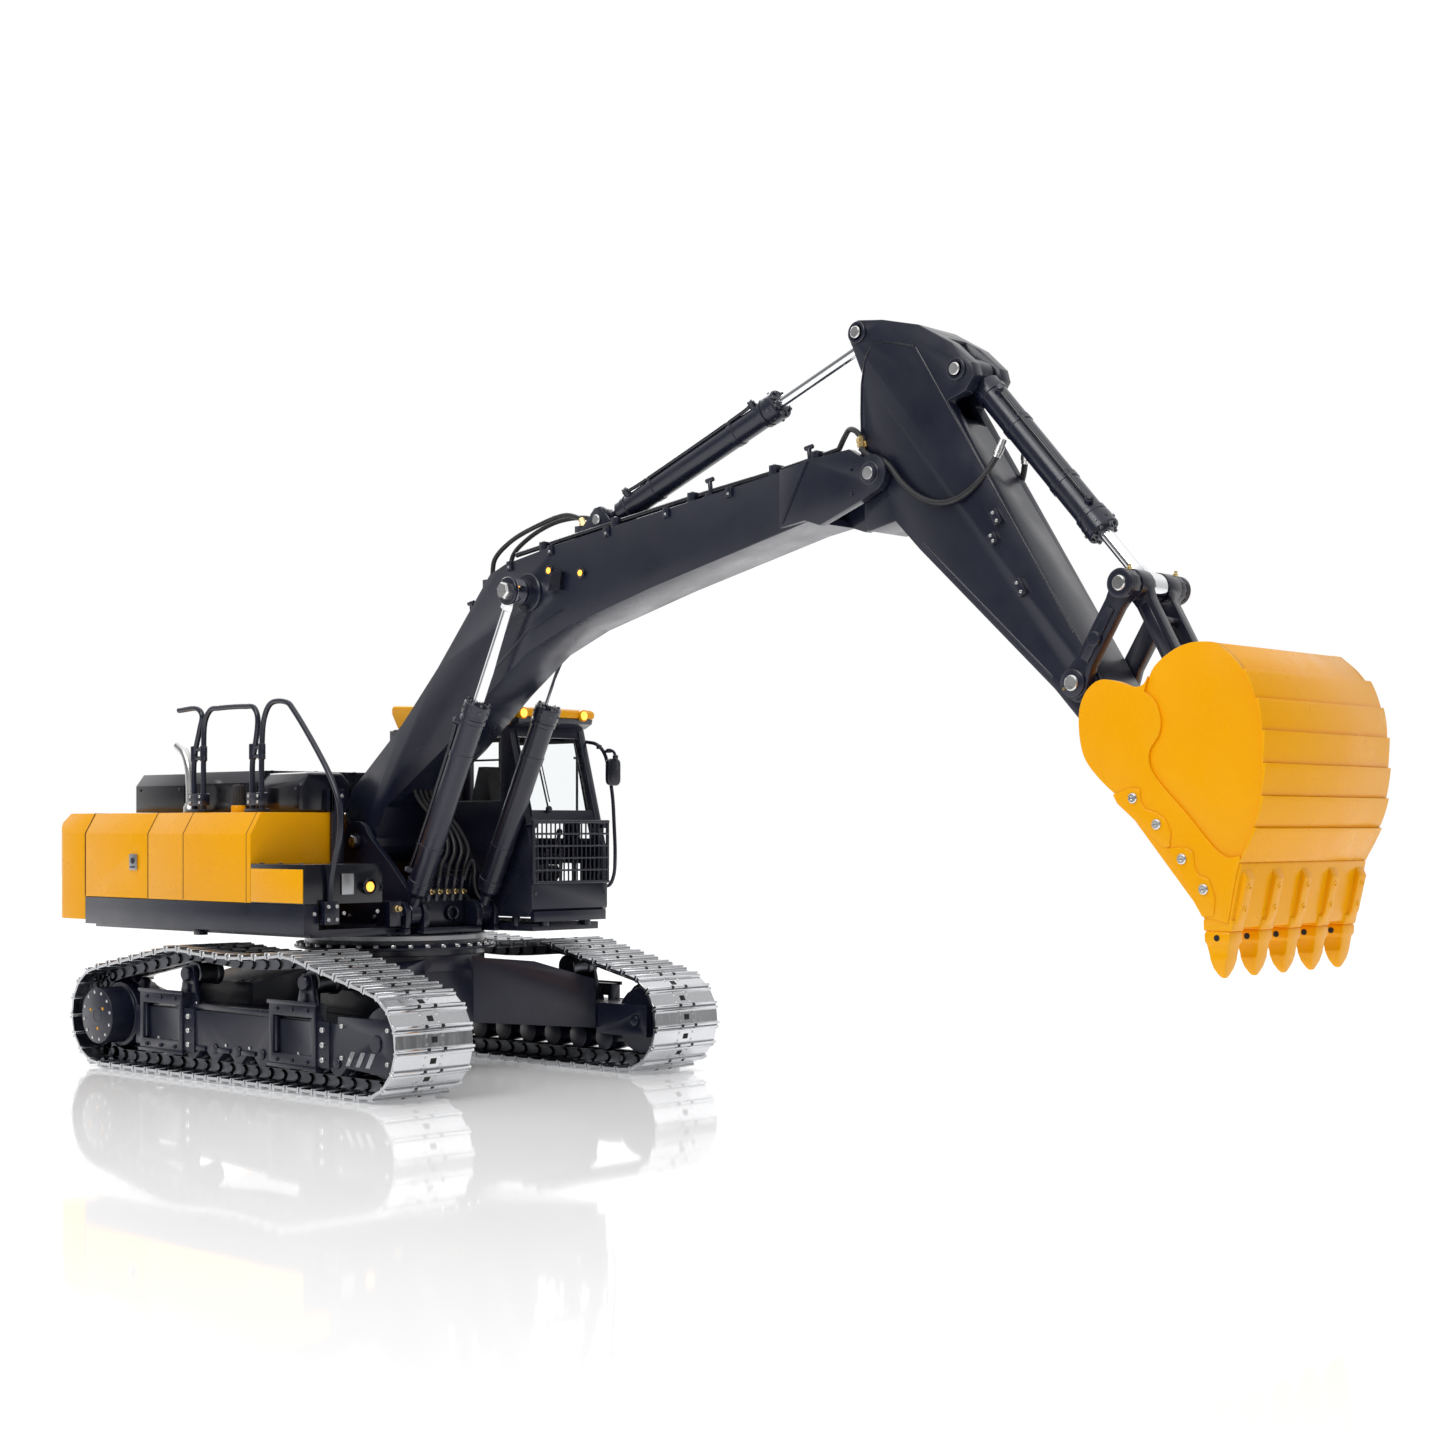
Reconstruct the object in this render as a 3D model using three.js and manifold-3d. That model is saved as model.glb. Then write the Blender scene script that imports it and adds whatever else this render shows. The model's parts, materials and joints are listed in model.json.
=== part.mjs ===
// Crawler excavator model, about 1:14, with working hydraulic cylinders.
// Millimetres. +X is ahead, +Y is the cab's side, +Z is up. Before the last lines, X = 0 and Y = 0 is the
// axis that the upper body swings about, and Z = 0 is the ground.
import * as THREE from "three";
import { mergeVertices } from "three/addons/utils/BufferGeometryUtils.js";
import Module from "manifold-3d";

// ---------------------------------------------------------------- driving dimensions
const TRACK_OUT = 150; // middle plane to the outer ends of the shoes
const SHOE_WIDTH = 65;
const SHOE_PITCH = 15.3;
const SHOE_PLATE = 2; // thickness
const GROUSER = 2.2; // height of the bars on the shoes
const CHAIN_HEIGHT = 8;
const RAILS = [[107, 112.5], [122.5, 128]]; // the two link rails of a chain
const IDLER = { x: 152.5, z: 37.5, reach: 37.5 }; // reach: centre to grouser tips
const SPROCKET = { x: -164, z: 38.5, reach: 38.5 };
const CARRIERS = { front: 70, rear: -70 };
const CARRIER_Z = 73;
const ROLLER_COUNT = 9;
const ROLLER_FIRST = -113;
const ROLLER_STEP = 28.1;
const ROLLER_Z = 22;

const RING_RADIUS = 74;
const RING_LOW = 86.3;
const RING_HIGH = 102;
const DECK_LOW = 102.4;
const SKIRT_LOW = 108;
const SKIRT_HIGH = 125.2;
const BODY_SIDE = 128.6; // half width of the upper body
const CHAMFER_Z = 173.6;
const BODY_TOP = 189;
const CHAMFER_IN = 9;
const TAIL_X = -215.3; // front face of the counterweight
const NOSE_X = 62; // front of the step box
const HOOD_TOP = 220;

const CAB = { rear: -62, front: 102, right: 44, left: 120, low: 113, high: 253 };
const SILL_Z = 190;

// Pin centres in side view, arm gear as it stands at rest.
const FOOT = [-12, 168]; // boom foot on the deck
const LIFT_BASE = [58, 117]; // boom cylinder base on the deck
const LIFT_PIN = [169, 338.5]; // boom cylinder rod on the boom
const ELBOW = [473, 387]; // arm on the boom
const CROWD_BASE = [228, 384]; // arm cylinder base on the boom
const CROWD_PIN = [458.6, 473]; // arm cylinder rod on the arm
const CURL_BASE = [532, 441]; // bucket cylinder base on the arm
const ROCKER_PIN = [617, 257]; // rocker on the arm
const CURL_PIN = [648.5, 309]; // bucket cylinder rod on the rocker
const WRIST = [645, 219]; // bucket on the arm
const LINK_PIN = [677, 257]; // link on the bucket

const LIFT_Y = 33; // the two boom cylinders stand this far off the middle plane
const BOOM_HALF = 20;
const ARM_HALF = 18;
const CHEEK_OUT = 24.5; // outer faces of the boom's fork
const BUCKET_HALF = 65;
const RUN = 0.4; // radial room of a pin in its eye
const GAP = 0.35; // between pieces that touch

// ---------------------------------------------------------------- colours
const PAINT_BLACK = { color: 0x22262e, roughness: 0.42, metalness: 0.25 };
const PAINT_YELLOW = { color: 0xf2a30a, roughness: 0.38, metalness: 0.1 };
const BRIGHT_STEEL = { color: 0xc9ccd0, roughness: 0.22, metalness: 1 };
const CHROME = { color: 0xe6e8ea, roughness: 0.08, metalness: 1 };
const GLASS = { color: 0xdfe7ea, roughness: 0.05, metalness: 0, opacity: 0.3, transparent: true };
const VINYL = { color: 0x1b1c1f, roughness: 0.65, metalness: 0 };
const CAST_GREY = { color: 0x7c8084, roughness: 0.5, metalness: 0.8 };

// ---------------------------------------------------------------- solids
const wasm = await Module();
wasm.setup();

function solid(geometry) {
  const plain = geometry.index ? geometry.toNonIndexed() : geometry.clone();
  plain.deleteAttribute("normal");
  plain.deleteAttribute("uv");
  const merged = mergeVertices(plain, 1e-4);
  const made = new wasm.Manifold(
    new wasm.Mesh({
      numProp: 3,
      vertProperties: new Float32Array(merged.attributes.position.array),
      triVerts: new Uint32Array(merged.index.array),
    }),
  );
  return made;
}

const join = (...solids) => wasm.Manifold.union(solids.flat());
const cut = (from, ...tools) => from.subtract(join(...tools));

function geometryOf(made) {
  const mesh = made.getMesh();
  const position = new Float32Array(mesh.numVert * 3);
  for (let i = 0; i < mesh.numVert; i++) {
    const start = i * mesh.numProp;
    position.set(mesh.vertProperties.subarray(start, start + 3), i * 3);
  }
  const indexed = new THREE.BufferGeometry();
  indexed.setAttribute("position", new THREE.BufferAttribute(position, 3));
  indexed.setIndex(new THREE.BufferAttribute(new Uint32Array(mesh.triVerts), 1));
  const flat = indexed.toNonIndexed();
  flat.computeVertexNormals();
  return flat;
}

function outline(points, holes = []) {
  const shape = new THREE.Shape(points.map(([u, v]) => new THREE.Vector2(u, v)));
  for (const hole of holes) {
    const path = new THREE.Path();
    if (typeof hole[0] === "number") path.absarc(hole[0], hole[1], hole[2], 0, 2 * Math.PI);
    else path.setFromPoints(hole.map(([u, v]) => new THREE.Vector2(u, v)));
    shape.holes.push(path);
  }
  return shape;
}

function extruded(points, depth, holes, curveSegments) {
  return new THREE.ExtrudeGeometry(outline(points, holes), {
    depth,
    bevelEnabled: false,
    curveSegments,
  });
}

// A side-view outline [x, z], from y0 to y1.
function side(points, y0, y1, holes = [], curveSegments = 8) {
  const g = extruded(points, y1 - y0, holes, curveSegments);
  return solid(g.rotateX(Math.PI / 2).translate(0, y1, 0));
}

// A top-view outline [x, y], from z0 to z1.
function plan(points, z0, z1, holes = [], curveSegments = 12) {
  return solid(extruded(points, z1 - z0, holes, curveSegments).translate(0, 0, z0));
}

// A front-view outline [y, z], from x0 to x1.
function front(points, x0, x1, holes = []) {
  const turn = new THREE.Matrix4().set(0, 0, 1, x0, 1, 0, 0, 0, 0, 1, 0, 0, 0, 0, 0, 1);
  return solid(extruded(points, x1 - x0, holes, 8).applyMatrix4(turn));
}

function box(x0, x1, y0, y1, z0, z1) {
  const g = new THREE.BoxGeometry(x1 - x0, y1 - y0, z1 - z0);
  return solid(g.translate((x0 + x1) / 2, (y0 + y1) / 2, (z0 + z1) / 2));
}

// A cylinder from point p to point q.
function bar(p, q, radius, sides = 16) {
  const from = new THREE.Vector3(...p);
  const to = new THREE.Vector3(...q);
  const along = to.clone().sub(from);
  const g = new THREE.CylinderGeometry(radius, radius, along.length(), sides);
  const turn = new THREE.Quaternion().setFromUnitVectors(new THREE.Vector3(0, 1, 0), along.normalize());
  g.applyQuaternion(turn).translate(...from.add(to).multiplyScalar(0.5).toArray());
  return solid(g);
}

// A pin across the machine, at side-view point c, from y0 to y1.
const pin = (c, radius, y0, y1, sides = 16) => bar([c[0], y0, c[1]], [c[0], y1, c[1]], radius, sides);

const upright = (x, y, radius, z0, z1, sides = 20) => bar([x, y, z0], [x, y, z1], radius, sides);

// A round tube through points, its corners eased.
function tube(points, radius, steps) {
  const route = new THREE.CatmullRomCurve3(
    points.map((p) => new THREE.Vector3(...p)),
    false,
    "centripetal",
  );
  const ring = new THREE.Shape();
  ring.absarc(0, 0, radius, 0, 2 * Math.PI);
  const section = new THREE.Shape(ring.getPoints(3).slice(0, -1));
  const g = new THREE.ExtrudeGeometry(section, { steps, bevelEnabled: false, extrudePath: route });
  return solid(g);
}

// Points of an arc about c, in degrees.
function arc(c, radius, start, end, count) {
  return Array.from({ length: count + 1 }, (_, i) => {
    const a = THREE.MathUtils.degToRad(start + ((end - start) * i) / count);
    return [c[0] + radius * Math.cos(a), c[1] + radius * Math.sin(a)];
  });
}

// Side-view points of the way from a to b: t of the way, then off to the left.
function along(a, b, t, off = 0) {
  const length = Math.hypot(b[0] - a[0], b[1] - a[1]);
  const u = [(b[0] - a[0]) / length, (b[1] - a[1]) / length];
  return [a[0] + u[0] * t - u[1] * off, a[1] + u[1] * t + u[0] * off];
}

const distance = (a, b) => Math.hypot(b[0] - a[0], b[1] - a[1]);
const span = (s, y0, y1) => (s > 0 ? [y0, y1] : [-y1, -y0]); // the same stretch on side s
const sideName = (s) => (s > 0 ? "left" : "right");

const model = new THREE.Group();

function part(name, made, finish) {
  const mesh = new THREE.Mesh(geometryOf(made), new THREE.MeshStandardMaterial(finish));
  mesh.name = name;
  model.add(mesh);
}

// ---------------------------------------------------------------- track loops
// The way of the grouser tips: under the sprocket and idler, over the carrier rollers, sagging between.
function tipLine(arcSteps = 30, sagSteps = 60) {
  const idler = arc([IDLER.x, IDLER.z], IDLER.reach, -90, 77.5, arcSteps);
  const sprocket = arc([SPROCKET.x, SPROCKET.z], SPROCKET.reach, 100.5, 270, arcSteps);
  const sag = [
    [86, 90.6], [78, 93], [70, 94.4], [62, 94.5], [30, 92], [0, 91],
    [-30, 92], [-62, 94.5], [-70, 94.4], [-78, 93.4], [-88, 91.5],
  ];
  const sagPoints = sag.map(([x, z]) => new THREE.Vector3(x, 0, z));
  const top = new THREE.CatmullRomCurve3(sagPoints, false, "centripetal");
  const over = top.getPoints(sagSteps).map((p) => [p.x, p.z]);
  return [...idler, ...over, ...sprocket];
}

// count points evenly spaced round the loop, each with its outward direction.
function loopPoints(count, phase = 0) {
  const line = tipLine();
  const ends = line.map((p, i) => [p, line[(i + 1) % line.length]]);
  const lengths = ends.map(([a, b]) => distance(a, b));
  const total = lengths.reduce((sum, l) => sum + l, 0);
  return Array.from({ length: count }, (_, i) => {
    let left = (((i + phase) / count) * total) % total;
    let k = 0;
    while (left > lengths[k]) {
      left -= lengths[k];
      k += 1;
    }
    const [a, b] = ends[k];
    const u = [(b[0] - a[0]) / lengths[k], (b[1] - a[1]) / lengths[k]];
    return { at: [a[0] + u[0] * left, a[1] + u[1] * left], out: [u[1], -u[0]] };
  });
}

function loopLength() {
  const line = tipLine();
  return line.reduce((sum, p, i) => sum + distance(p, line[(i + 1) % line.length]), 0);
}

// Few points, enough for the rails: each with the direction out, halfway between its two edges'.
function railStations() {
  const line = tipLine(8, 10);
  return line.map((at, i) => {
    const before = line[(i + line.length - 1) % line.length];
    const after = line[(i + 1) % line.length];
    const length = distance(before, after);
    return { at, out: [(after[1] - before[1]) / length, (before[0] - after[0]) / length] };
  });
}

const SHOES = Math.round(loopLength() / SHOE_PITCH);
const inset = (p, depth) => [p.at[0] - p.out[0] * depth, p.at[1] - p.out[1] * depth];

function track(s) {
  const stations = [0.34, 0.44, 0.56, 0.66].map((phase) => loopPoints(SHOES, phase));
  const outer = [];
  for (let i = 0; i < SHOES; i++) {
    outer.push(inset(stations[0][i], GROUSER));
    outer.push(inset(stations[1][i], 0));
    outer.push(inset(stations[2][i], 0));
    outer.push(inset(stations[3][i], GROUSER));
  }
  const joints = loopPoints(SHOES);
  const plateIn = GROUSER + SHOE_PLATE;
  const inner = joints.map((p) => inset(p, plateIn));
  const shoes = side(outer, ...span(s, TRACK_OUT - SHOE_WIDTH, TRACK_OUT), [inner]);
  const railPoints = railStations();
  const railOut = railPoints.map((p) => inset(p, plateIn - 0.9));
  const railIn = railPoints.map((p) => inset(p, plateIn + CHAIN_HEIGHT));
  const rails = RAILS.map(([y0, y1]) => side(railOut, ...span(s, y0, y1), [railIn]));
  return join(shoes, rails);
}

function trackFrame(s) {
  const y = (y0, y1) => span(s, y0, y1);
  const beam = side(
    [[-130, 34], [118, 34], [122, 40], [122, 48], [40, 50], [-60, 50], [-130, 48]],
    ...y(100, 136),
  );
  const teeth = [];
  for (let i = ROLLER_COUNT - 1; i >= 0; i--) {
    const x = ROLLER_FIRST + i * ROLLER_STEP;
    teeth.push([x + 10, 20], [x + 3, 13.5], [x - 3, 13.5], [x - 10, 20]);
  }
  const guard = side([[-130, 20], [-130, 48], [122, 48], [122, 20], ...teeth], ...y(131, 138));
  const rollers = [];
  for (let i = 0; i < ROLLER_COUNT; i++) {
    const at = [ROLLER_FIRST + i * ROLLER_STEP, ROLLER_Z];
    rollers.push(pin(at, 9.2, ...y(107, 128.3), 10), pin(at, 3, ...y(128, 131.5), 6));
  }
  const steps = [[-118, -64], [41, 93]].map(([x0, x1]) =>
    side(
      [[x0, 17], [x1, 17], [x1, 60], [x0, 60]],
      ...y(133, 142),
      [[[x0 + 4, 25], [x0 + 4, 51], [x1 - 4, 51], [x1 - 4, 25]]],
    ),
  );
  const boltPlates = [-58, 99].map((x) =>
    side([[x - 6, 18], [x + 6, 18], [x + 6, 49], [x - 6, 49]], ...y(137, 140)),
  );
  const motorPlate = side(
    [[-124, 24], [-124, 50], ...arc([SPROCKET.x, SPROCKET.z], 20, 70, 290, 14)],
    ...y(98.5, 104),
  );
  const idlerHole = [IDLER.x, IDLER.z, 4 + RUN];
  const idlerInner = side([[112, 26], [164, 26], [164, 49], [112, 49]], ...y(99, 104), [idlerHole]);
  const idlerCover = side(
    [[112, 20], [164, 17], [170, 24], [170, 53], [112, 53]],
    ...y(131.5, 138),
    [idlerHole],
  );
  const carrierArms = Object.values(CARRIERS).map((x) =>
    side(
      [[x - 14, 46], [x + 14, 46], [x + 9, 63], [x + 5, 79], [x - 5, 79], [x - 9, 63]],
      ...y(129.3, 132.5),
      [[x, CARRIER_Z, 3 + RUN]],
    ),
  );
  return join(
    beam, guard, rollers, steps, boltPlates, motorPlate, idlerInner, idlerCover, carrierArms,
  );
}

// A toothed rim between the rails, shoulders under them, and the motor's cover outside.
function sprocket(s) {
  const y = (y0, y1) => span(s, y0, y1);
  const c = [SPROCKET.x, SPROCKET.z];
  const teeth = 13;
  const rim = [];
  for (let i = 0; i < teeth; i++) {
    const start = (360 / teeth) * i;
    rim.push(...arc(c, 31.2, start, start + 8, 1), ...arc(c, 25.5, start + 13, start + 23, 1));
  }
  return join(
    side(rim, ...y(114.5, 120.5)),
    pin(c, 24.3, ...y(105, 130), 18),
    pin(c, 20.8, ...y(128, 149.6), 22),
  );
}

function idler(s) {
  const y = (y0, y1) => span(s, y0, y1);
  const c = [IDLER.x, IDLER.z];
  return join(
    pin(c, 24, ...y(105, 130), 20),
    pin(c, 29, ...y(114.5, 120.5), 20),
    pin(c, 4, ...y(97.5, 139), 12),
  );
}

function carrierRoller(s, x) {
  const y = (y0, y1) => span(s, y0, y1);
  const c = [x, CARRIER_Z];
  return join(pin(c, 8.8, ...y(107.5, 128.5), 14), pin(c, 3, ...y(128, 134), 10));
}

for (const s of [1, -1]) {
  part(`track_${sideName(s)}`, track(s), BRIGHT_STEEL);
  part(`track_frame_${sideName(s)}`, trackFrame(s), PAINT_BLACK);
  part(`sprocket_${sideName(s)}`, sprocket(s), PAINT_BLACK);
  part(`idler_${sideName(s)}`, idler(s), PAINT_BLACK);
  for (const [end, x] of Object.entries(CARRIERS)) {
    part(`carrier_roller_${end}_${sideName(s)}`, carrierRoller(s, x), PAINT_BLACK);
  }
}

// ---------------------------------------------------------------- centre frame and swing ring
const LEG_END = 98.2; // just clear of the track frames
const legProfile = [[20, 36], [LEG_END, 30], [LEG_END, 66], [60, 80], [20, 84]];
const legs = [1, -1].flatMap((s) => {
  const height = front(legProfile.map(([y, z]) => [s * y, z]), -130, 130);
  return [1, -1].map((e) =>
    plan([[e * 60, s * 20], [e * 112, s * LEG_END], [e * 40, s * LEG_END], [e * 10, s * 54]], 26, 90)
      .intersect(height),
  );
});
const hub = cut(box(-62, 62, -58, 58, 36, 80), box(-58, 58, -54, 54, 32, 76));
part("center_frame", join(hub, upright(0, 0, 66, 75, 86, 24), legs), PAINT_BLACK);

const ring = cut(
  join(upright(0, 0, RING_RADIUS, RING_LOW + 4, 92, 32), upright(0, 0, 66, RING_LOW, RING_HIGH, 32)),
  upright(0, 0, 50, RING_LOW - 1, RING_HIGH + 1, 20),
);
part("slew_ring", ring, CAST_GREY);

// ---------------------------------------------------------------- deck
const deckPlate = plan(
  [
    [-214, -120], [NOSE_X - 4, -120], [NOSE_X - 4, -46], [46, -46], [46, 46], [64, 46], [CAB.front - 8, 52],
    [CAB.front - 8, 118], [64, 120], [-214, 120],
  ],
  DECK_LOW,
  DECK_LOW + 5.4,
);
const skirts = [
  box(-214.8, NOSE_X, -BODY_SIDE, -116, SKIRT_LOW - 3, SKIRT_HIGH),
  box(-214.8, CAB.rear - 1, 116, BODY_SIDE, SKIRT_LOW - 3, SKIRT_HIGH),
];
const footBracket = [1, -1].map((s) =>
  side(
    [
      [-52, 107], [66, 107], [67, 112], ...arc(LIFT_BASE, 9, -20, 110, 4), [30, 150],
      ...arc(FOOT, 15, 20, 150, 5), [-40, 150],
    ],
    ...span(s, 22.5, 27),
    [[...FOOT, 6 + RUN]],
  ),
);
const liftEars = [1, -1].map((s) =>
  side([[30, 107], [66, 107], ...arc(LIFT_BASE, 9, -20, 160, 5)], ...span(s, 39.3, 43.3)),
);
const liftStubs = [1, -1].flatMap((s) => [
  pin(LIFT_BASE, 4, ...span(s, 26.5, 27.8), 12),
  pin(LIFT_BASE, 4, ...span(s, 38.2, 43.5), 12),
]);
// Room ahead of the deck plate for the eyes of the boom cylinders.
const eyeRoom = [1, -1].map((s) => box(34, 72, ...span(s, 27, 39.3), 95, 112));
part(
  "deck_frame",
  join(
    cut(join(deckPlate, skirts, box(40, 66, -44, 44, DECK_LOW, DECK_LOW + 4)), eyeRoom),
    footBracket,
    liftEars,
    liftStubs,
    box(36, 40, -43, 43, 104, 126),
  ),
  PAINT_BLACK,
);

// ---------------------------------------------------------------- body panels
// Front view of a side of the body: upright, then a chamfer up to the top.
const sideProfile = (s, inner, low) => [
  [s * inner, low], [s * BODY_SIDE, low], [s * BODY_SIDE, CHAMFER_Z],
  [s * (BODY_SIDE - CHAMFER_IN), BODY_TOP], [s * inner, BODY_TOP],
];

function counterweight() {
  const half = BODY_SIDE;
  const rear = [
    [TAIL_X, -half], [TAIL_X, half], ...arc([-246, half - 12], 12, 90, 170, 4), [-262, 40], [-262, -40],
    ...arc([-246, 12 - half], 12, 190, 270, 4),
  ];
  const section = [
    [-half, SKIRT_LOW], [half, SKIRT_LOW], [half, CHAMFER_Z], [half - CHAMFER_IN, BODY_TOP],
    [CHAMFER_IN - half, BODY_TOP], [-half, CHAMFER_Z],
  ];
  const tail = [
    [TAIL_X, SKIRT_LOW], [TAIL_X, BODY_TOP], [-250, BODY_TOP], [-263, 172], [-263, 116], [-256, SKIRT_LOW],
  ];
  const whole = plan(rear, SKIRT_LOW, BODY_TOP)
    .intersect(front(section, -264, TAIL_X))
    .intersect(side(tail, -half, half));
  return cut(whole, box(-244, TAIL_X + 1, -112, 112, SKIRT_LOW + 6, BODY_TOP - 8));
}
part("counterweight", counterweight(), PAINT_YELLOW);

const WALL = 3;
const DOOR = { rear: -214.3, front: -129, low: SKIRT_HIGH + 0.5 };
const HOOD = { rear: -212, front: -54, right: -86, left: 36 };
const PANEL_LOW = SKIRT_HIGH + GAP;

// The right side: a shell with the pump bay behind its door, and a front face over the step box.
function rightBody() {
  const inner = -58;
  const outside = front(sideProfile(-1, -inner, PANEL_LOW), TAIL_X + GAP, 0);
  const room = front(
    [
      [inner - WALL, PANEL_LOW - 5], [-125, PANEL_LOW - 5], [-125, 172], [-118, BODY_TOP - WALL],
      [inner - WALL, BODY_TOP - WALL],
    ],
    TAIL_X + WALL,
    -WALL,
  );
  const doorway = box(DOOR.rear + 3, DOOR.front - 3, -140, -110, DOOR.low + 2, 168);
  const doorSeat = front(
    [
      [-140, DOOR.low - 2], [-125.6, DOOR.low - 2], [-125.6, 172.6], [-117, BODY_TOP - 1], [-117, 200],
      [-140, 200],
    ],
    DOOR.rear - 2,
    DOOR.front + GAP,
  );
  const hoodSeat = box(HOOD.rear - 0.5, HOOD.front + 0.5, HOOD.right - 0.5, 0, BODY_TOP - 1, 200);
  return cut(outside, room, doorway, doorSeat, hoodSeat);
}
part("body_right", rightBody(), PAINT_YELLOW);

const sideDoor = front(
  [
    [-BODY_SIDE, DOOR.low], [-126, DOOR.low], [-126, CHAMFER_Z - 1], [-119, BODY_TOP - 0.2],
    [CHAMFER_IN - BODY_SIDE, BODY_TOP], [-BODY_SIDE, CHAMFER_Z],
  ],
  DOOR.rear,
  DOOR.front,
);
const latch = box(-152, -142, -BODY_SIDE - 0.8, -BODY_SIDE + 1, 146, 158);
part("side_door", join(sideDoor, latch), PAINT_YELLOW);

function leftBody() {
  const outside = front(sideProfile(1, HOOD.left + 2, PANEL_LOW), TAIL_X + GAP, CAB.rear - 1);
  const room = front(
    [
      [HOOD.left + 5, PANEL_LOW - 5], [125, PANEL_LOW - 5], [125, 172], [118, BODY_TOP - WALL],
      [HOOD.left + 5, BODY_TOP - WALL],
    ],
    TAIL_X + WALL,
    CAB.rear - 1 - WALL,
  );
  return cut(outside, room);
}
part("body_left", leftBody(), PAINT_YELLOW);

const hoodProfile = (right, left, low, high) => [
  [right, low], [left, low], [left, high - 8], [left - 7, high], [right + 7, high], [right, high - 9],
];
// The engine hood lifts on a hinge along its rear edge.
const hood = cut(
  join(
    front(hoodProfile(HOOD.right, HOOD.left, BODY_TOP + 0.6, HOOD_TOP - 1), HOOD.rear, HOOD.rear + 66),
    front(
      hoodProfile(HOOD.right + 1.5, HOOD.left - 1.5, BODY_TOP + 0.6, HOOD_TOP),
      HOOD.rear + 60,
      HOOD.front,
    ),
    box(HOOD.front - 30, HOOD.front - 22, HOOD.right, HOOD.right + 3, 196, 206),
  ),
  box(HOOD.rear + 3, HOOD.front - 3, HOOD.right + 5, HOOD.left - 5, BODY_TOP - 2, HOOD_TOP - 5),
);
part("engine_hood", hood, PAINT_BLACK);

part(
  "tank_cover",
  front(hoodProfile(HOOD.right + 2, -39, BODY_TOP + GAP, HOOD_TOP - 2), HOOD.front + 1, -3),
  PAINT_BLACK,
);

// A curved tailpipe in front of the rail, its tip turned back.
part(
  "exhaust",
  join(
    tube(
      [[-119, -98, BODY_TOP + 4], [-119.5, -98, 212], [-121.5, -98, 224], [-127, -98, 234], [-137, -98, 240]],
      3.6,
      12,
    ),
    upright(-119, -98, 5.5, BODY_TOP + GAP, BODY_TOP + 6, 16),
  ),
  CAST_GREY,
);
part(
  "filler_cap",
  join(upright(-57, -99, 4.9, BODY_TOP + GAP, 194, 18), upright(-57, -99, 4.4, 193, 209.4, 18)),
  PAINT_YELLOW,
);

// ---------------------------------------------------------------- step box and handrails
const STEP_TOP = 153;
const STEP_LEFT = -61;
const STEP_LAMP = [-73, 137]; // y and z of the lamp on its front
const stepBox = cut(
  box(GAP, NOSE_X, -BODY_SIDE, STEP_LEFT, PANEL_LOW, STEP_TOP),
  box(WALL, NOSE_X - WALL, WALL - BODY_SIDE, STEP_LEFT - WALL, PANEL_LOW - 2, STEP_TOP - WALL),
);
const [lampY, lampZ] = STEP_LAMP;
const lampRim = bar([NOSE_X - 1, lampY, lampZ], [NOSE_X + 4, lampY, lampZ], 6, 20);
const blankPlate = box(NOSE_X - 1, NOSE_X + 0.8, -96.5, -86.5, 132, 147);
part("step_box", join(stepBox, lampRim, blankPlate), PAINT_BLACK);

const RAIL_Y = -109;
const RAIL_R = 2;
const RAIL_TOP = 265;
const foot = (x, y, z = BODY_TOP) => box(x - 5, x + 5, y - 4, y + 4, z + GAP, z + GAP + 3);
part(
  "handrail_rear",
  join(
    tube(
      [
        [-98, RAIL_Y, 190], [-98, RAIL_Y, 228], [-91, RAIL_Y, 250], [-88, RAIL_Y, 260],
        [-93, RAIL_Y, RAIL_TOP], [-118, RAIL_Y, RAIL_TOP],
      ],
      RAIL_R,
      12,
    ),
    foot(-98, RAIL_Y),
  ),
  PAINT_BLACK,
);
part(
  "handrail_middle",
  join(
    tube(
      [
        [-86, RAIL_Y, 190], [-86, RAIL_Y, 232], [-84, RAIL_Y, 256], [-77, RAIL_Y, RAIL_TOP - 1],
        [-66, RAIL_Y, RAIL_TOP], [-34, RAIL_Y, RAIL_TOP], [-24, RAIL_Y, RAIL_TOP - 1], [-19, RAIL_Y, 257],
        [-22, RAIL_Y, 236], [-25, RAIL_Y, 226], [-25, RAIL_Y, 190],
      ],
      RAIL_R,
      26,
    ),
    foot(-86, RAIL_Y),
    foot(-25.5, RAIL_Y),
  ),
  PAINT_BLACK,
);
part(
  "handrail_front",
  join(
    tube(
      [
        [-14, RAIL_Y, 190], [-14, RAIL_Y, 232], [-11, RAIL_Y, 256], [-3, RAIL_Y, 266], [16, RAIL_Y, 266],
        [24, RAIL_Y, 260], [68, RAIL_Y, 210], [76, RAIL_Y, 192], [76, RAIL_Y, 172], [70, RAIL_Y, 155],
        [66, RAIL_Y, 140], [66, RAIL_Y, 122],
      ],
      RAIL_R,
      26,
    ),
    foot(-13.5, RAIL_Y),
    box(NOSE_X + GAP, NOSE_X + 6, RAIL_Y - 6, RAIL_Y + 6, 112, 127),
  ),
  PAINT_BLACK,
);

// ---------------------------------------------------------------- cab
const PILLAR = 4.5; // thickness of the cab's posts and walls
const RAKE = 26; // how far the windscreen leans back
const BROW_Z = 160; // where it starts to lean
const DOOR_X = [-10, 94];
const cabSide = (inset = 0) => [
  [CAB.rear + inset, CAB.low + inset], [CAB.front - 6, CAB.low + inset],
  [CAB.front - inset, CAB.low + 6], [CAB.front - inset, BROW_Z],
  [CAB.front - RAKE - inset, CAB.high - inset], [CAB.rear + inset, CAB.high - inset],
];
// Outer face of the cab's front at height z.
const cabFront = (z) => CAB.front - (RAKE * (z - BROW_Z)) / (CAB.high - BROW_Z);

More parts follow.
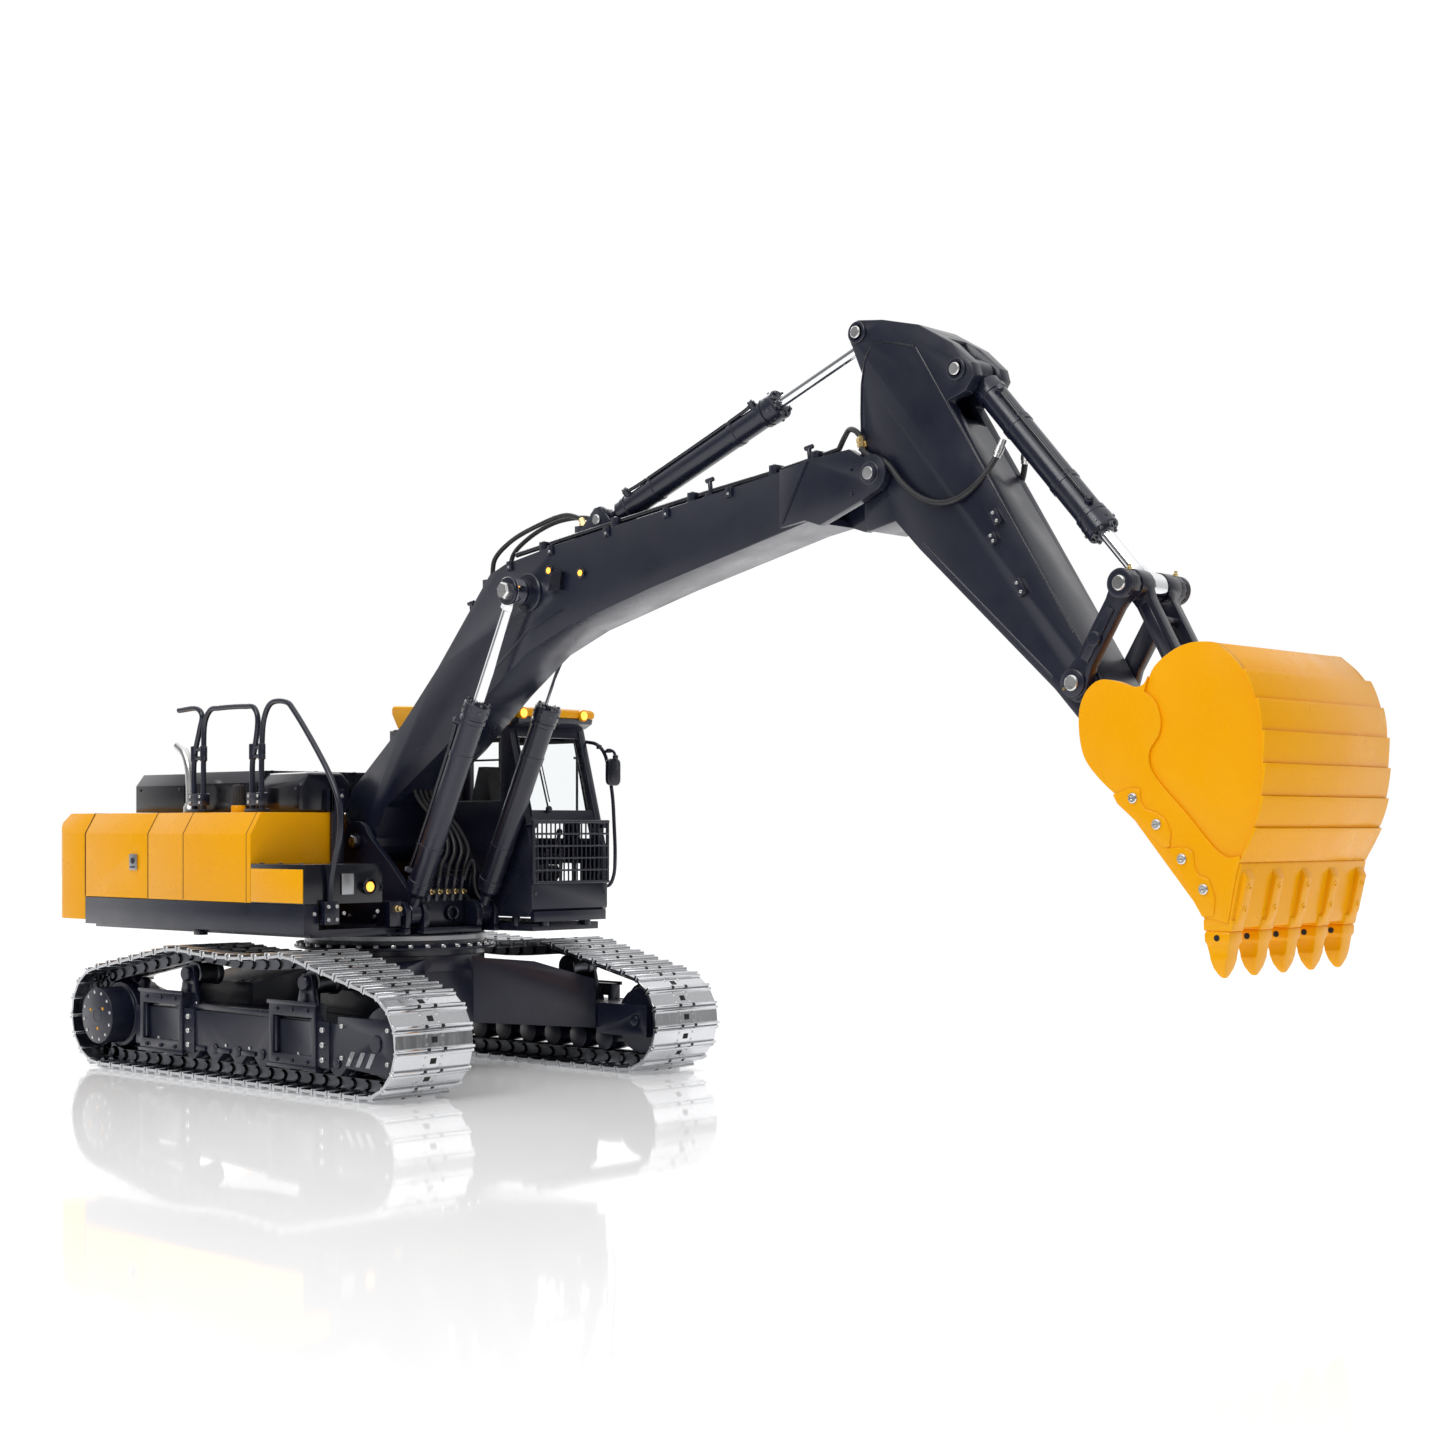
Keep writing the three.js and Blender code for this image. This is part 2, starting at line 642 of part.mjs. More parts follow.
function cabFrame() {
  const { left, right } = CAB;
  const shell = side(cabSide(), right, left);
  const room = side(cabSide(PILLAR), right + PILLAR, left - PILLAR);
  const screen = [[right + 7, SILL_Z + 1], [left - 7, SILL_Z + 1], [left - 7, 245], [right + 7, 245]];
  const lower = [[right + 7, 138], [left - 7, 138], [left - 7, SILL_Z - 9], [right + 7, SILL_Z - 9]];
  const rearWindow = [[right + 12, SILL_Z], [left - 12, SILL_Z], [left - 12, 242], [right + 12, 242]];
  const sideWindow = [[-50, 198], [67, 198], [67, 245], [-50, 245]];
  const doorway = [
    [DOOR_X[0] + 3, 119.6], [DOOR_X[1] - 3, 119.6], [DOOR_X[1] - 3, 166], [69.5, 246], [DOOR_X[0] + 3, 246],
  ];
  const quarter = [[-50, SILL_Z], [DOOR_X[0] - 6, SILL_Z], [DOOR_X[0] - 6, 245], [-50, 245]];
  const doorRebate = [
    [DOOR_X[0] - 0.5, 118], [DOOR_X[1] + 0.5, 118], [DOOR_X[1] + 0.5, 168.3], [72.6, 249.5],
    [DOOR_X[0] - 0.5, 249.5],
  ];
  return cut(
    shell,
    room,
    front(screen, 60, 120),
    front(lower, 80, 120),
    front(rearWindow, CAB.rear - 5, CAB.rear + 10),
    side(sideWindow, right - 5, right + 10),
    side(doorway, left - 10, left + 5),
    side(quarter, left - 10, left + 5),
    side(doorRebate, left - 2.6, left + 5),
  );
}
part("cab_frame", cabFrame(), PAINT_BLACK);

// Glass stands just inside the openings.
const paneY = [CAB.right + PILLAR + GAP, CAB.left - PILLAR - GAP];
const screenFoot = [cabFront(SILL_Z - 5) - PILLAR - 1.7, SILL_Z - 5];
const screenHead = [cabFront(247.5) - PILLAR - 1.7, 247.5];
part(
  "windscreen",
  side(
    [screenFoot, [screenFoot[0] - 1.2, screenFoot[1]], [screenHead[0] - 1.2, screenHead[1]], screenHead],
    ...paneY,
  ),
  GLASS,
);
part(
  "glass_right",
  box(-54, 69, paneY[0], paneY[0] + 1.2, 194, CAB.high - PILLAR - GAP),
  GLASS,
);
part(
  "glass_rear",
  box(CAB.rear + PILLAR + GAP, CAB.rear + PILLAR + GAP + 1.2, CAB.right + 8, CAB.left - 8, SILL_Z - 4, 246),
  GLASS,
);

// The roof panel, with its visor over the windscreen.
const roof = side(
  [
    [-52, CAB.high + GAP], [76, CAB.high + GAP], [80, 258.5], [88, 260], [88, 265], [84, 266.5], [-57, 272.4],
    [-60, 271], [-60, 266],
  ],
  CAB.right - 0.4,
  CAB.left + 1,
);
part("cab_roof", roof, PAINT_YELLOW);

// The door swings on a hinge behind its opening.
const doorEdge = [
  [DOOR_X[0], 118.5], [DOOR_X[1], 118.5], [DOOR_X[1], 168], [72, 249], [DOOR_X[0], 249],
];
// The openings of its two panes: the tall window, and a low one by the driver's feet.
const upperPane = (inset) => [
  [DOOR_X[0] + 8 + inset, 170 + inset], [85 - inset, 170 + inset], [66.5 - inset, 242 - inset],
  [DOOR_X[0] + 8 + inset, 242 - inset],
];
const lowerPane = (inset) => [
  [22 + inset, 128 + inset], [74 - inset, 128 + inset], [74 - inset, 151 - inset], [22 + inset, 151 - inset],
];
const doorFrame = side(doorEdge, CAB.left - 2.2, CAB.left + 1.2, [upperPane(0), lowerPane(0)]);
const doorHandle = box(76, 88, CAB.left + 1, CAB.left + 4, 158, 162);
part("cab_door", join(doorFrame, doorHandle), PAINT_BLACK);
part("door_glass", side(upperPane(0.3), CAB.left - 1, CAB.left + 0.2), GLASS);
part("door_glass_low", side(lowerPane(0.3), CAB.left - 1, CAB.left + 0.2), GLASS);

// Bars over the lower half of the cab's front.
function frontGuard() {
  const [y0, y1, z0, z1] = [CAB.right + 1, CAB.left, 137, 183.5];
  const x = [CAB.front + 2, CAB.front + 4];
  const even = (from, to, count) =>
    Array.from({ length: count + 1 }, (_, i) => from + ((to - from) * i) / count);
  const across = even(z0, z1 - 1.8, 5).map((z) => box(...x, y0, y1, z, z + 1.8));
  const up = even(y0, y1 - 1.8, 8).map((y) => box(...x, y, y + 1.8, z0, z1));
  const lugs = [y0, y1 - 4].flatMap((y) =>
    [z0, z1 - 3].map((z) => box(Math.min(CAB.front, cabFront(z)) + GAP, CAB.front + 3, y, y + 4, z, z + 3)),
  );
  return join(across, up, lugs);
}
part("front_guard", frontGuard(), PAINT_BLACK);

const seat = join(
  box(18, 70, 60, 101, CAB.low + PILLAR + GAP, 138),
  side([[16, 136], [68, 136], [74, 144], [70, 150], [30, 149], [16, 149]], 62, 99),
  side([[16, 140], [28, 140], [34, 200], [28, 224], [20, 224], [12, 200]], 64, 97),
  box(26, 66, 54, 60.5, 150, 158),
  box(26, 66, 100.5, 107, 150, 158),
  box(36, 48, 54, 107, 136, 152),
);
part("seat", seat, VINYL);

// A grab tube up the cab's left front corner, holding the mirror.
const grab = join(
  tube(
    [
      [97, CAB.left + 1, 134], [99, CAB.left + 5, 135], [101.5, CAB.left + 7, 142], [103, CAB.left + 7, 156],
      [102, CAB.left + 7, 180], [99.5, CAB.left + 7, 206], [92.5, CAB.left + 6, 234], [86, CAB.left + 4, 241],
      [77.5, CAB.left + 1, 243],
    ],
    1.4,
    22,
  ),
  bar([92, CAB.left + 6, 234], [102.5, CAB.left + 6, 233], 1.2, 8),
  bar([102.5, CAB.left + 6, 234], [102.5, CAB.left + 6, 226], 1.2, 8),
  box(101, 104.5, CAB.left - 1, CAB.left + 12, 210.5, 229.5),
);
part("mirror", cut(grab, box(0, 120, 0, CAB.left + GAP, 100, 260)), PAINT_BLACK);

// ---------------------------------------------------------------- valves, pump and battery
part(
  "valve_block",
  join(
    box(6, 34, -20, 20, 108.4, 120),
    ...[-15, -5, 5, 15].map((y) => upright(20, y, 3, 119, 132, 10)),
    ...[-12, 0, 12].map((y) => bar([33, y, 114], [38 - GAP - 3, y, 114], 2.4, 8)),
  ),
  CAST_GREY,
);
const pump = join(bar([-200, -84, 150], [-140, -84, 150], 18, 20), box(-196, -144, -102, -66, 108.4, 140));
part("pump", pump, CAST_GREY);
part("battery", box(-200, -80, 50, 110, 108.4, 150), VINYL);

// ---------------------------------------------------------------- boom
const eye = (c, radius, y0, y1, bore) => cut(pin(c, radius, y0, y1, 20), pin(c, bore, y0 - 1, y1 + 1, 12));
const both = (make) => [1, -1].flatMap((s) => make((y0, y1) => span(s, y0, y1)));

const boomSide = [
  ...arc(FOOT, 15, 190, 368, 8), [14, 193], [79, 234], [129, 272], [168, 298], [207, 313], [289, 334],
  [348, 347], [422, 364], [434, 360], [467, 372], ...arc(ELBOW, 11.5, -80, 120, 8), [457, 403], [423, 400],
  [331, 387], [196, 369], [145, 360], [129, 354], [95, 316], [73, 292], [33, 253], [-26, 206], [-34, 188],
  [-32, 175],
];
const cheekSide = [
  [402, 361], [422, 364], [434, 360], [467, 372], ...arc(ELBOW, 11.5, -80, 120, 8), [457, 403],
  [423, 400], [402, 396],
];
const crowdPlate = [...arc(CROWD_BASE, 9, -30, 190, 6), [206, 368], [262, 374]];
const boomHollow = [
  [425, 367.8], [347.4, 350.4], [288, 337.2], [206, 316.4], [166, 301], [127, 275], [77, 236.8],
  [14, 198], [-8, 214], [35, 250], [75, 289.6], [97.4, 313.8], [131, 351.2], [145.8, 356.8],
  [196.5, 365.8], [331.4, 383.8], [425, 397],
];
const boom = join(
  cut(
    side(boomSide, -BOOM_HALF, BOOM_HALF),
    box(424, 500, -18.7, 18.7, 340, 420),
    side(boomHollow, 3 - BOOM_HALF, BOOM_HALF - 3),
  ),
  both((y) => [
    side(cheekSide, ...y(18.7, CHEEK_OUT)),
    side(crowdPlate, ...y(7, 10.5)),
    pin(LIFT_PIN, 9, ...y(19, 27), 20),
  ]),
  pin(FOOT, 6, -29, 29, 16),
  pin(LIFT_PIN, 4.5, -40, 40, 14),
  pin(CROWD_BASE, 4, -12.5, 12.5, 12),
  pin(ELBOW, 5.5, -27, 27, 14),
);
part("boom", boom, PAINT_BLACK);

// ---------------------------------------------------------------- boom cylinders
const toward = (a, b, t, y) => {
  const [x, z] = along(a, b, t);
  return [x, y, z];
};
// A cylinder's barrel from base a toward b: eye, neck, tube, gland, and the bore for its rod.
function barrel(a, b, y, form) {
  const at = (t) => toward(a, b, t, y);
  return cut(
    join(
      pin(a, form.eyeRadius, y - form.eyeHalf, y + form.eyeHalf, 18),
      bar(at(0), at(form.tubeStart + 2), form.neck, 10),
      bar(at(form.tubeStart), at(form.gland - 2), form.radius, 18),
      bar(at(form.gland - 10), at(form.gland), form.glandRadius, 18),
    ),
    bar(at(form.boreStart), at(form.gland + 1), form.rod + RUN, 10),
    form.bore ? pin(a, form.bore, y - 20, y + 20, 12) : [],
  );
}
function rod(a, b, y, form) {
  const at = (t) => toward(a, b, t, y);
  return cut(
    join(
      pin(b, form.rodEye, y - form.eyeHalf, y + form.eyeHalf, 18),
      bar(at(form.rodStart), at(distance(a, b) - 2), form.rod, 12),
    ),
    form.rodBore ? pin(b, form.rodBore, y - 20, y + 20, 12) : [],
  );
}
const LIFT_FORM = {
  eyeRadius: 8, eyeHalf: 4.5, neck: 4.4, tubeStart: 18, radius: 8.35, gland: 165, glandRadius: 9.5,
  boreStart: 21, rod: 3.9, rodStart: 78, rodEye: 9, rodBore: 4.5 + RUN,
};
for (const s of [1, -1]) {
  part(`boom_barrel_${sideName(s)}`, barrel(LIFT_BASE, LIFT_PIN, s * LIFT_Y, LIFT_FORM), PAINT_BLACK);
  part(`boom_rod_${sideName(s)}`, rod(LIFT_BASE, LIFT_PIN, s * LIFT_Y, LIFT_FORM), CHROME);
}

// ---------------------------------------------------------------- arm and its cylinder
const CROWD_FORM = {
  eyeRadius: 8, eyeHalf: 6.5, neck: 5, tubeStart: 14, radius: 8, gland: 165, glandRadius: 9.5, boreStart: 18,
  rod: 4, rodStart: 60, rodEye: 8, bore: 4 + RUN,
};
part("arm_barrel", barrel(CROWD_BASE, CROWD_PIN, 0, CROWD_FORM), PAINT_BLACK);
part("arm_rod", rod(CROWD_BASE, CROWD_PIN, 0, CROWD_FORM), CHROME);

const armSide = [
  ...arc(CROWD_PIN, 7.5, 90, 200, 5), [462, 447], [460, 410], [464, 358], [467, 354], [487, 358], [505, 340],
  [599, 255], [614.5, 238.4], ...arc(WRIST, 11, 200, 380, 8), [633, 254], [619, 276], [556, 375], [525, 424],
  [538, 428], [544, 437], [542, 444], [528, 457], [504, 471], [477, 478],
];
const rodPocket = [[430, 447], [463, 447], [474, 460], [474, 500], [430, 500]];
const barrelPocket = [[512, 425], [550, 400], [580, 440], [550, 480], [520, 465], [514, 455]];
const armHollow = [
  [517, 430], [521, 423], [552.6, 373], [605, 290], [592, 269], [507.2, 342.4], [491, 358], [490, 374],
  [493, 405], [505, 440], [515, 446],
];
const arm = join(
  cut(
    side(armSide, -ARM_HALF, ARM_HALF),
    side(armHollow, 3 - ARM_HALF, ARM_HALF - 3),
    side(rodPocket, -7.1, 7.1),
    side(barrelPocket, -9.2, 9.2),
    pin(ELBOW, 5.5 + RUN, -20, 20, 14),
    pin(WRIST, 5 + RUN, -20, 20, 14),
    pin(ROCKER_PIN, 4.5 + RUN, -20, 20, 14),
  ),
  both((y) => [pin(CROWD_PIN, 5, ...y(17, 20), 12), pin(CURL_BASE, 5, ...y(17, 20), 12)]),
);
part("arm", arm, PAINT_BLACK);

// ---------------------------------------------------------------- bucket cylinder and linkage
const CURL_FORM = {
  eyeRadius: 8, eyeHalf: 6.5, neck: 5, tubeStart: 11, radius: 8.4, gland: 133, glandRadius: 9.5,
  boreStart: 30, rod: 3.9, rodStart: 47, rodEye: 8, rodBore: 4.5 + RUN,
};
part("bucket_barrel", barrel(CURL_BASE, CURL_PIN, 0, CURL_FORM), PAINT_BLACK);
part("bucket_rod", rod(CURL_BASE, CURL_PIN, 0, CURL_FORM), CHROME);

// Side view of a lever: an eye round a, an eye round b, and a waist between them.
const lever = (a, b, ra, rb, waist) => {
  const lean = THREE.MathUtils.radToDeg(Math.atan2(b[1] - a[1], b[0] - a[0]));
  const length = distance(a, b);
  return [
    ...arc(a, ra, lean + 60, lean + 300, 8),
    along(a, b, ra + 4, -waist),
    along(a, b, length - rb - 4, -waist),
    ...arc(b, rb, lean - 120, lean + 120, 8),
    along(a, b, length - rb - 4, waist),
    along(a, b, ra + 4, waist),
  ];
};
const rocker = join(
  both((y) => side(lever(ROCKER_PIN, CURL_PIN, 9, 8, 5.6), ...y(20, 26))),
  pin(ROCKER_PIN, 4.5, -28, 28, 14),
  pin(CURL_PIN, 4.5, -29.8, 29.8, 14),
);
part("rocker", rocker, PAINT_BLACK);

const link = join(
  both((y) => eye(CURL_PIN, 8.5, ...y(7.5, 19.4), 4.5 + RUN)),
  both((y) =>
    cut(side(lever(CURL_PIN, LINK_PIN, 7.5, 7, 5), ...y(7.5, 14)), pin(CURL_PIN, 4.5 + RUN, -20, 20, 12)),
  ),
  pin(LINK_PIN, 7, -18, 18, 18),
);
part("link", link, PAINT_BLACK);

// ---------------------------------------------------------------- bucket and teeth
const bucketOuter = [
  [722, 134], [734, 130], [741, 163], [746, 170], [753, 193], [754, 216], [753, 234], [746, 252], [738, 261],
  [728, 271], [712, 268], [697, 258], [690, 245], [680, 238], [672, 225], [664, 205], [668, 194],
];
// The outer side plates reach back past the arm's tip.
const bucketCheek = [
  [722, 134], [734, 130], [741, 163], [746, 170], [753, 193], [754, 216], [753, 234], [746, 252], [738, 261],
  [728, 271], [712, 271], [703.5, 268], [692, 260], [686, 250.5], [680, 250.5], [671, 253.5], [660, 254.5],
  [652, 249], [647.6, 240], [648, 225], [651.3, 214], [660, 203.7], [671, 195],
];
const bucketRoom = [
  [720.5, 138.5], [731.5, 136.5], [738, 164.5], [743, 171.5], [750, 194], [751, 216], [750, 233],
  [743.5, 250.2], [736, 258.6], [726.8, 267.8], [713.2, 265.2], [699.2, 256.2], [692.2, 243],
  [682.4, 236], [675, 223.5], [667.5, 204], [655, 195], [700, 125],
];
const ear = [
  ...arc(LINK_PIN, 9.5, 0, 150, 6), ...arc(WRIST, 12, 130, 290, 8), [668, 194], [671, 206], [678, 223.5],
  [684.5, 234], [694.5, 241.5], [700, 252],
];
const TEETH = [-59, -29.5, 0, 29.5, 59];
const TOOTH_TOP = 126.6;
const adapters = TEETH.map((y) =>
  side(
    [[722, 141], [721.5, 127], [735, 127], [739.4, 134], [744.4, 157], [738, 160], [731.4, 140]],
    y - 5,
    y + 5,
  ),
);
const cutterOutlines = [
  [
    [669.4, 195], [671.8, 191], [698.3, 169.3], [702.5, 169], [703, 176], [700, 183], [694, 186],
    [688, 187.5], [685, 192], [684.5, 197.5], [680, 198.5],
  ],
  [
    [701.5, 168], [715.8, 143.1], [721.6, 134.9], [727.3, 135.5], [728, 144], [724.5, 152.5], [719, 154],
    [716.5, 158], [715.5, 166], [711.5, 168],
  ],
];
const cutters = both((y) => cutterOutlines.map((points) => side(points, ...y(61, BUCKET_HALF + 1.5))));
const bucket = join(
  cut(side(bucketOuter, -BUCKET_HALF, BUCKET_HALF), side(bucketRoom, 3 - BUCKET_HALF, BUCKET_HALF - 3)),
  both((y) => side(bucketCheek, ...y(BUCKET_HALF - 3, BUCKET_HALF))),
  both((y) => side(ear, ...y(19.5, 25))),
  both((y) => pin(LINK_PIN, 4.5, ...y(19, 28), 12)),
  pin(WRIST, 5, -28, 28, 14),
  adapters,
  cutters,
);
part("bucket", bucket, PAINT_YELLOW);

TEETH.forEach((y, i) => {
  const tooth = side(
    [[721.5, TOOTH_TOP], [735, TOOTH_TOP], [731.5, 105], [729, 103.5], [726.5, 105]],
    y - 6.5,
    y + 6.5,
  );
  part(`tooth_${i + 1}`, tooth, PAINT_YELLOW);
});

// ---------------------------------------------------------------- pipes
// Steel pipes held along the boom's top and down the arm's cylinder side.
const boomPipe = (y) =>
  tube([[150, y, 366.5], [200, y, 373.5], [331, y, 391], [400, y, 399.5], [440, y, 406]], 2, 8);
part(
  "boom_pipes",
  join(boomPipe(13.5), boomPipe(-13.5), [180, 320, 424].map((x) => {
    const z = 364.6 + (x - 150) * 0.1385;
    return box(x - 3, x + 3, -17, 17, z + 1.9, z + 5);
  })),
  CAST_GREY,
);

// The frame's origin is on the ground, under the middle of the whole length.
const whole = new THREE.Box3().setFromObject(model);
model.position.x = -(whole.min.x + whole.max.x) / 2;

export default model;
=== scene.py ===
"""Looks of the crawler excavator model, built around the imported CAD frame.

Sizes are in millimetres from the swing axis, as in part.mjs, and at() turns them into the frame's metres.
"""
import json
import math

import bmesh
import bpy
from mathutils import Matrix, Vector

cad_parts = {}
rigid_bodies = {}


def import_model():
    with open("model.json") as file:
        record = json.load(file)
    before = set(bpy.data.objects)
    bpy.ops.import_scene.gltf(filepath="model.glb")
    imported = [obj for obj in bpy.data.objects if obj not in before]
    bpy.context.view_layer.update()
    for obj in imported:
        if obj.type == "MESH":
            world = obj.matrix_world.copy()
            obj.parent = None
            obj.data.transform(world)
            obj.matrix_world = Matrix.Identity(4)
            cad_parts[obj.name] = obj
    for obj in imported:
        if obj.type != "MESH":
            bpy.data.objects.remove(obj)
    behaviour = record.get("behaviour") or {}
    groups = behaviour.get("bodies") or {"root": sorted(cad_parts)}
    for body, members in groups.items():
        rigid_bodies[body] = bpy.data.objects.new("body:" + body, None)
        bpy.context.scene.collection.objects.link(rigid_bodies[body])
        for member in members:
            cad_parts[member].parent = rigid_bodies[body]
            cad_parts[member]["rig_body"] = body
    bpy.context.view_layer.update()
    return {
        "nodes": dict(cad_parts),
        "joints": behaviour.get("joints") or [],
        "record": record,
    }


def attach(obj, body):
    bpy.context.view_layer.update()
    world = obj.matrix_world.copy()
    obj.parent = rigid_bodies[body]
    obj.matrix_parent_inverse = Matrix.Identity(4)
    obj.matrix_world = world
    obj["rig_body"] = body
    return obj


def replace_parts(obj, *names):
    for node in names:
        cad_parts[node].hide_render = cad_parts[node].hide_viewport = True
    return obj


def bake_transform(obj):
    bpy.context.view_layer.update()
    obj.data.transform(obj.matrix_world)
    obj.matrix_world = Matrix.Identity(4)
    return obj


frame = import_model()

MM = 0.001
JOINTS = {joint["name"]: joint for joint in frame["joints"]}
SWING_X = JOINTS["slew"]["pos_m"][0] / MM


def at(x, y, z):
    return Vector(((x + SWING_X) * MM, y * MM, z * MM))


def pin_of(joint):
    """A joint's place in side view, x and z in millimetres from the swing axis."""
    x, _, z = JOINTS[joint]["pos_m"]
    return (x / MM - SWING_X, z / MM)


def on(pin, y):
    """The point at width y on a cross pin given in side view."""
    return (pin[0], y, pin[1])


FOOT = pin_of("boom")
LIFT_PIN = pin_of("boom_rod_left")
ELBOW = pin_of("arm")
CROWD_BASE = pin_of("arm_barrel")
WRIST = pin_of("bucket")
ROCKER_PIN = pin_of("rocker")
CURL_PIN = pin_of("link")
LIFT_BASE = (58, 117)
CROWD_PIN = (458.6, 473)
CURL_BASE = (532, 441)
LINK_PIN = (677, 257)
LIFT_Y = 33

TRACK_OUT = 150
SHOE_WIDTH = 65
SHOE_PITCH = 15.3
IDLER = (152.5, 37.5, 37.5)  # x, z, and the reach of the grouser tips
SPROCKET = (-164, 38.5, 38.5)
BODY_SIDE = 128.6
BODY_TOP = 189


# ---------------------------------------------------------------- shader helpers
class Shader:
    """A node tree with a Principled shader, and short ways to add to it."""

    def __init__(self, name):
        self.material = bpy.data.materials.new(name)
        self.material.use_nodes = True
        self.tree = self.material.node_tree
        self.main = self.tree.nodes["Principled BSDF"]
        self.place = self.node("ShaderNodeTexCoord").outputs["Object"]

    def node(self, kind, **inputs):
        made = self.tree.nodes.new(kind)
        for key, value in inputs.items():
            self.put(made.inputs[key], value)
        return made

    def put(self, socket, value):
        if isinstance(value, bpy.types.NodeSocket):
            self.tree.links.new(value, socket)
        else:
            socket.default_value = value

    def set(self, **inputs):
        for key, value in inputs.items():
            self.put(self.main.inputs[key.replace("_", " ")], value)

    def noise(self, scale, detail=3.0, stretch=None):
        source = self.place
        if stretch:
            source = self.node("ShaderNodeMapping", Vector=self.place, Scale=stretch).outputs[0]
        made = self.node("ShaderNodeTexNoise", Vector=source, Scale=scale, Detail=detail)
        return made.outputs["Fac"]

    def spread(self, value, low, high, start=0.3, end=0.7):
        """value, taken from start to end, spread over low to high."""
        made = self.node("ShaderNodeMapRange", Value=value)
        for key, number in (("From Min", start), ("From Max", end), ("To Min", low), ("To Max", high)):
            made.inputs[key].default_value = number
        return made.outputs[0]

    def blend(self, factor, a, b):
        made = self.tree.nodes.new("ShaderNodeMix")
        made.data_type = "RGBA"
        self.put(made.inputs["Factor"], factor)
        self.put(made.inputs[6], a)
        self.put(made.inputs[7], b)
        return made.outputs[2]

    def painted_edge_highlight(self, radius, low=0.9, high=0.985):
        """1 at a sharp edge and 0 on a flat face: the mask of the painted highlight along edges."""
        soft = self.node("ShaderNodeBevel", Radius=radius).outputs[0]
        plain = self.node("ShaderNodeNewGeometry").outputs["Normal"]
        dot = self.tree.nodes.new("ShaderNodeVectorMath")
        dot.operation = "DOT_PRODUCT"
        self.put(dot.inputs[0], soft)
        self.put(dot.inputs[1], plain)
        return self.spread(dot.outputs["Value"], 1.0, 0.0, low, high)

    def bump(self, height, strength, distance, bevel=None):
        made = self.node("ShaderNodeBump", Height=height, Strength=strength, Distance=distance)
        if bevel:
            self.put(made.inputs["Normal"], self.node("ShaderNodeBevel", Radius=bevel).outputs[0])
        self.set(Normal=made.outputs[0])


def rgb(red, green, blue):
    """A screen colour, 0 to 255, as linear RGBA."""
    return (*((c / 255) ** 2.2 for c in (red, green, blue)), 1.0)


def paint(name, color, dusty, roughness, coat, shine=0.5):
    """Sprayed paint: fine orange peel, uneven gloss, and painted highlights along sharp edges."""
    s = Shader(name)
    cloud = s.spread(s.noise(14, 5), 0, 1)
    tint = s.blend(cloud, color, dusty)
    # Painted highlight: sharp edges are lightened in patches towards a paler tint, standing in for the light
    # they catch.
    edge = s.painted_edge_highlight(0.0006)
    edge_highlight = s.node("ShaderNodeMath")
    edge_highlight.operation = "MULTIPLY"
    s.put(edge_highlight.inputs[0], edge)
    s.put(edge_highlight.inputs[1], s.spread(s.noise(160, 4), 0.1, 0.4))
    light = tuple(min(1.0, 2.2 * c + 0.03) for c in dusty[:3]) + (1.0,)
    s.set(Base_Color=s.blend(edge_highlight.outputs[0], tint, light))
    s.set(Roughness=s.spread(s.noise(45, 6), roughness - 0.05, roughness + 0.09))
    s.set(Coat_Weight=coat, Coat_Roughness=0.16, Specular_IOR_Level=shine)
    s.bump(s.noise(420, 2), 0.035, 0.0002, bevel=0.0004)
    return s.material


def metal(name, color, low, high, stretch=(1, 1, 1), grain=220, strength=0.12, dirt=None, bevel=0.0003):
    """Bare or plated metal: a fine grain, uneven polish, and dirt in patches if it has any."""
    s = Shader(name)
    fine = s.noise(grain, 4, stretch)
    s.set(Metallic=1.0)
    s.set(Roughness=s.spread(s.noise(60, 6, stretch), low, high))
    if dirt:
        patches = s.spread(s.noise(48, 6), 0, 0.65, 0.5, 0.78)
        s.set(Base_Color=s.blend(patches, color, dirt))
    else:
        s.set(Base_Color=s.blend(s.spread(fine, 0, 0.35), color, tuple(0.8 * c for c in color[:3]) + (1.0,)))
    s.bump(fine, strength, 0.0001, bevel=bevel)
    return s.material


def soft(name, color, roughness, grain, strength):
    """Rubber or moulded plastic with a matt, slightly mottled skin."""
    s = Shader(name)
    lighter = tuple(1.7 * c for c in color[:3]) + (1.0,)
    s.set(Base_Color=s.blend(s.spread(s.noise(90, 4), 0, 1), color, lighter))
    s.set(Roughness=s.spread(s.noise(70, 4), roughness - 0.1, roughness + 0.1))
    s.bump(s.noise(grain, 3), strength, 0.0002, bevel=0.0003)
    return s.material


def pane(name):
    s = Shader(name)
    s.set(Base_Color=(0.97, 0.985, 0.99, 1), Transmission_Weight=1.0, IOR=1.15)
    s.set(Roughness=s.spread(s.noise(30, 5), 0.0, 0.06, 0.4, 0.8))
    s.bump(s.noise(25, 2), 0.02, 0.0002)
    return s.material


def glow(name, color, strength):
    """A lit lens: ribbed, and brighter in the middle of each rib."""
    s = Shader(name)
    ribs = s.node("ShaderNodeTexWave", Vector=s.place, Scale=150.0, Distortion=0.6)
    level = s.spread(ribs.outputs["Fac"], 0.55 * strength, strength, 0, 1)
    s.set(Base_Color=color, Emission_Color=color, Emission_Strength=level, Roughness=0.2)
    s.bump(ribs.outputs["Fac"], 0.3, 0.0003)
    return s.material


def painted_gap_shade(name):
    """Painted shade: the dark inside a panel gap, a hole or a slot, drawn as a near-black material."""
    s = Shader(name)
    s.set(Base_Color=s.blend(s.noise(200), (0.004, 0.004, 0.005, 1), (0.012, 0.012, 0.014, 1)))
    s.set(Roughness=s.spread(s.noise(80), 0.6, 0.9))
    return s.material


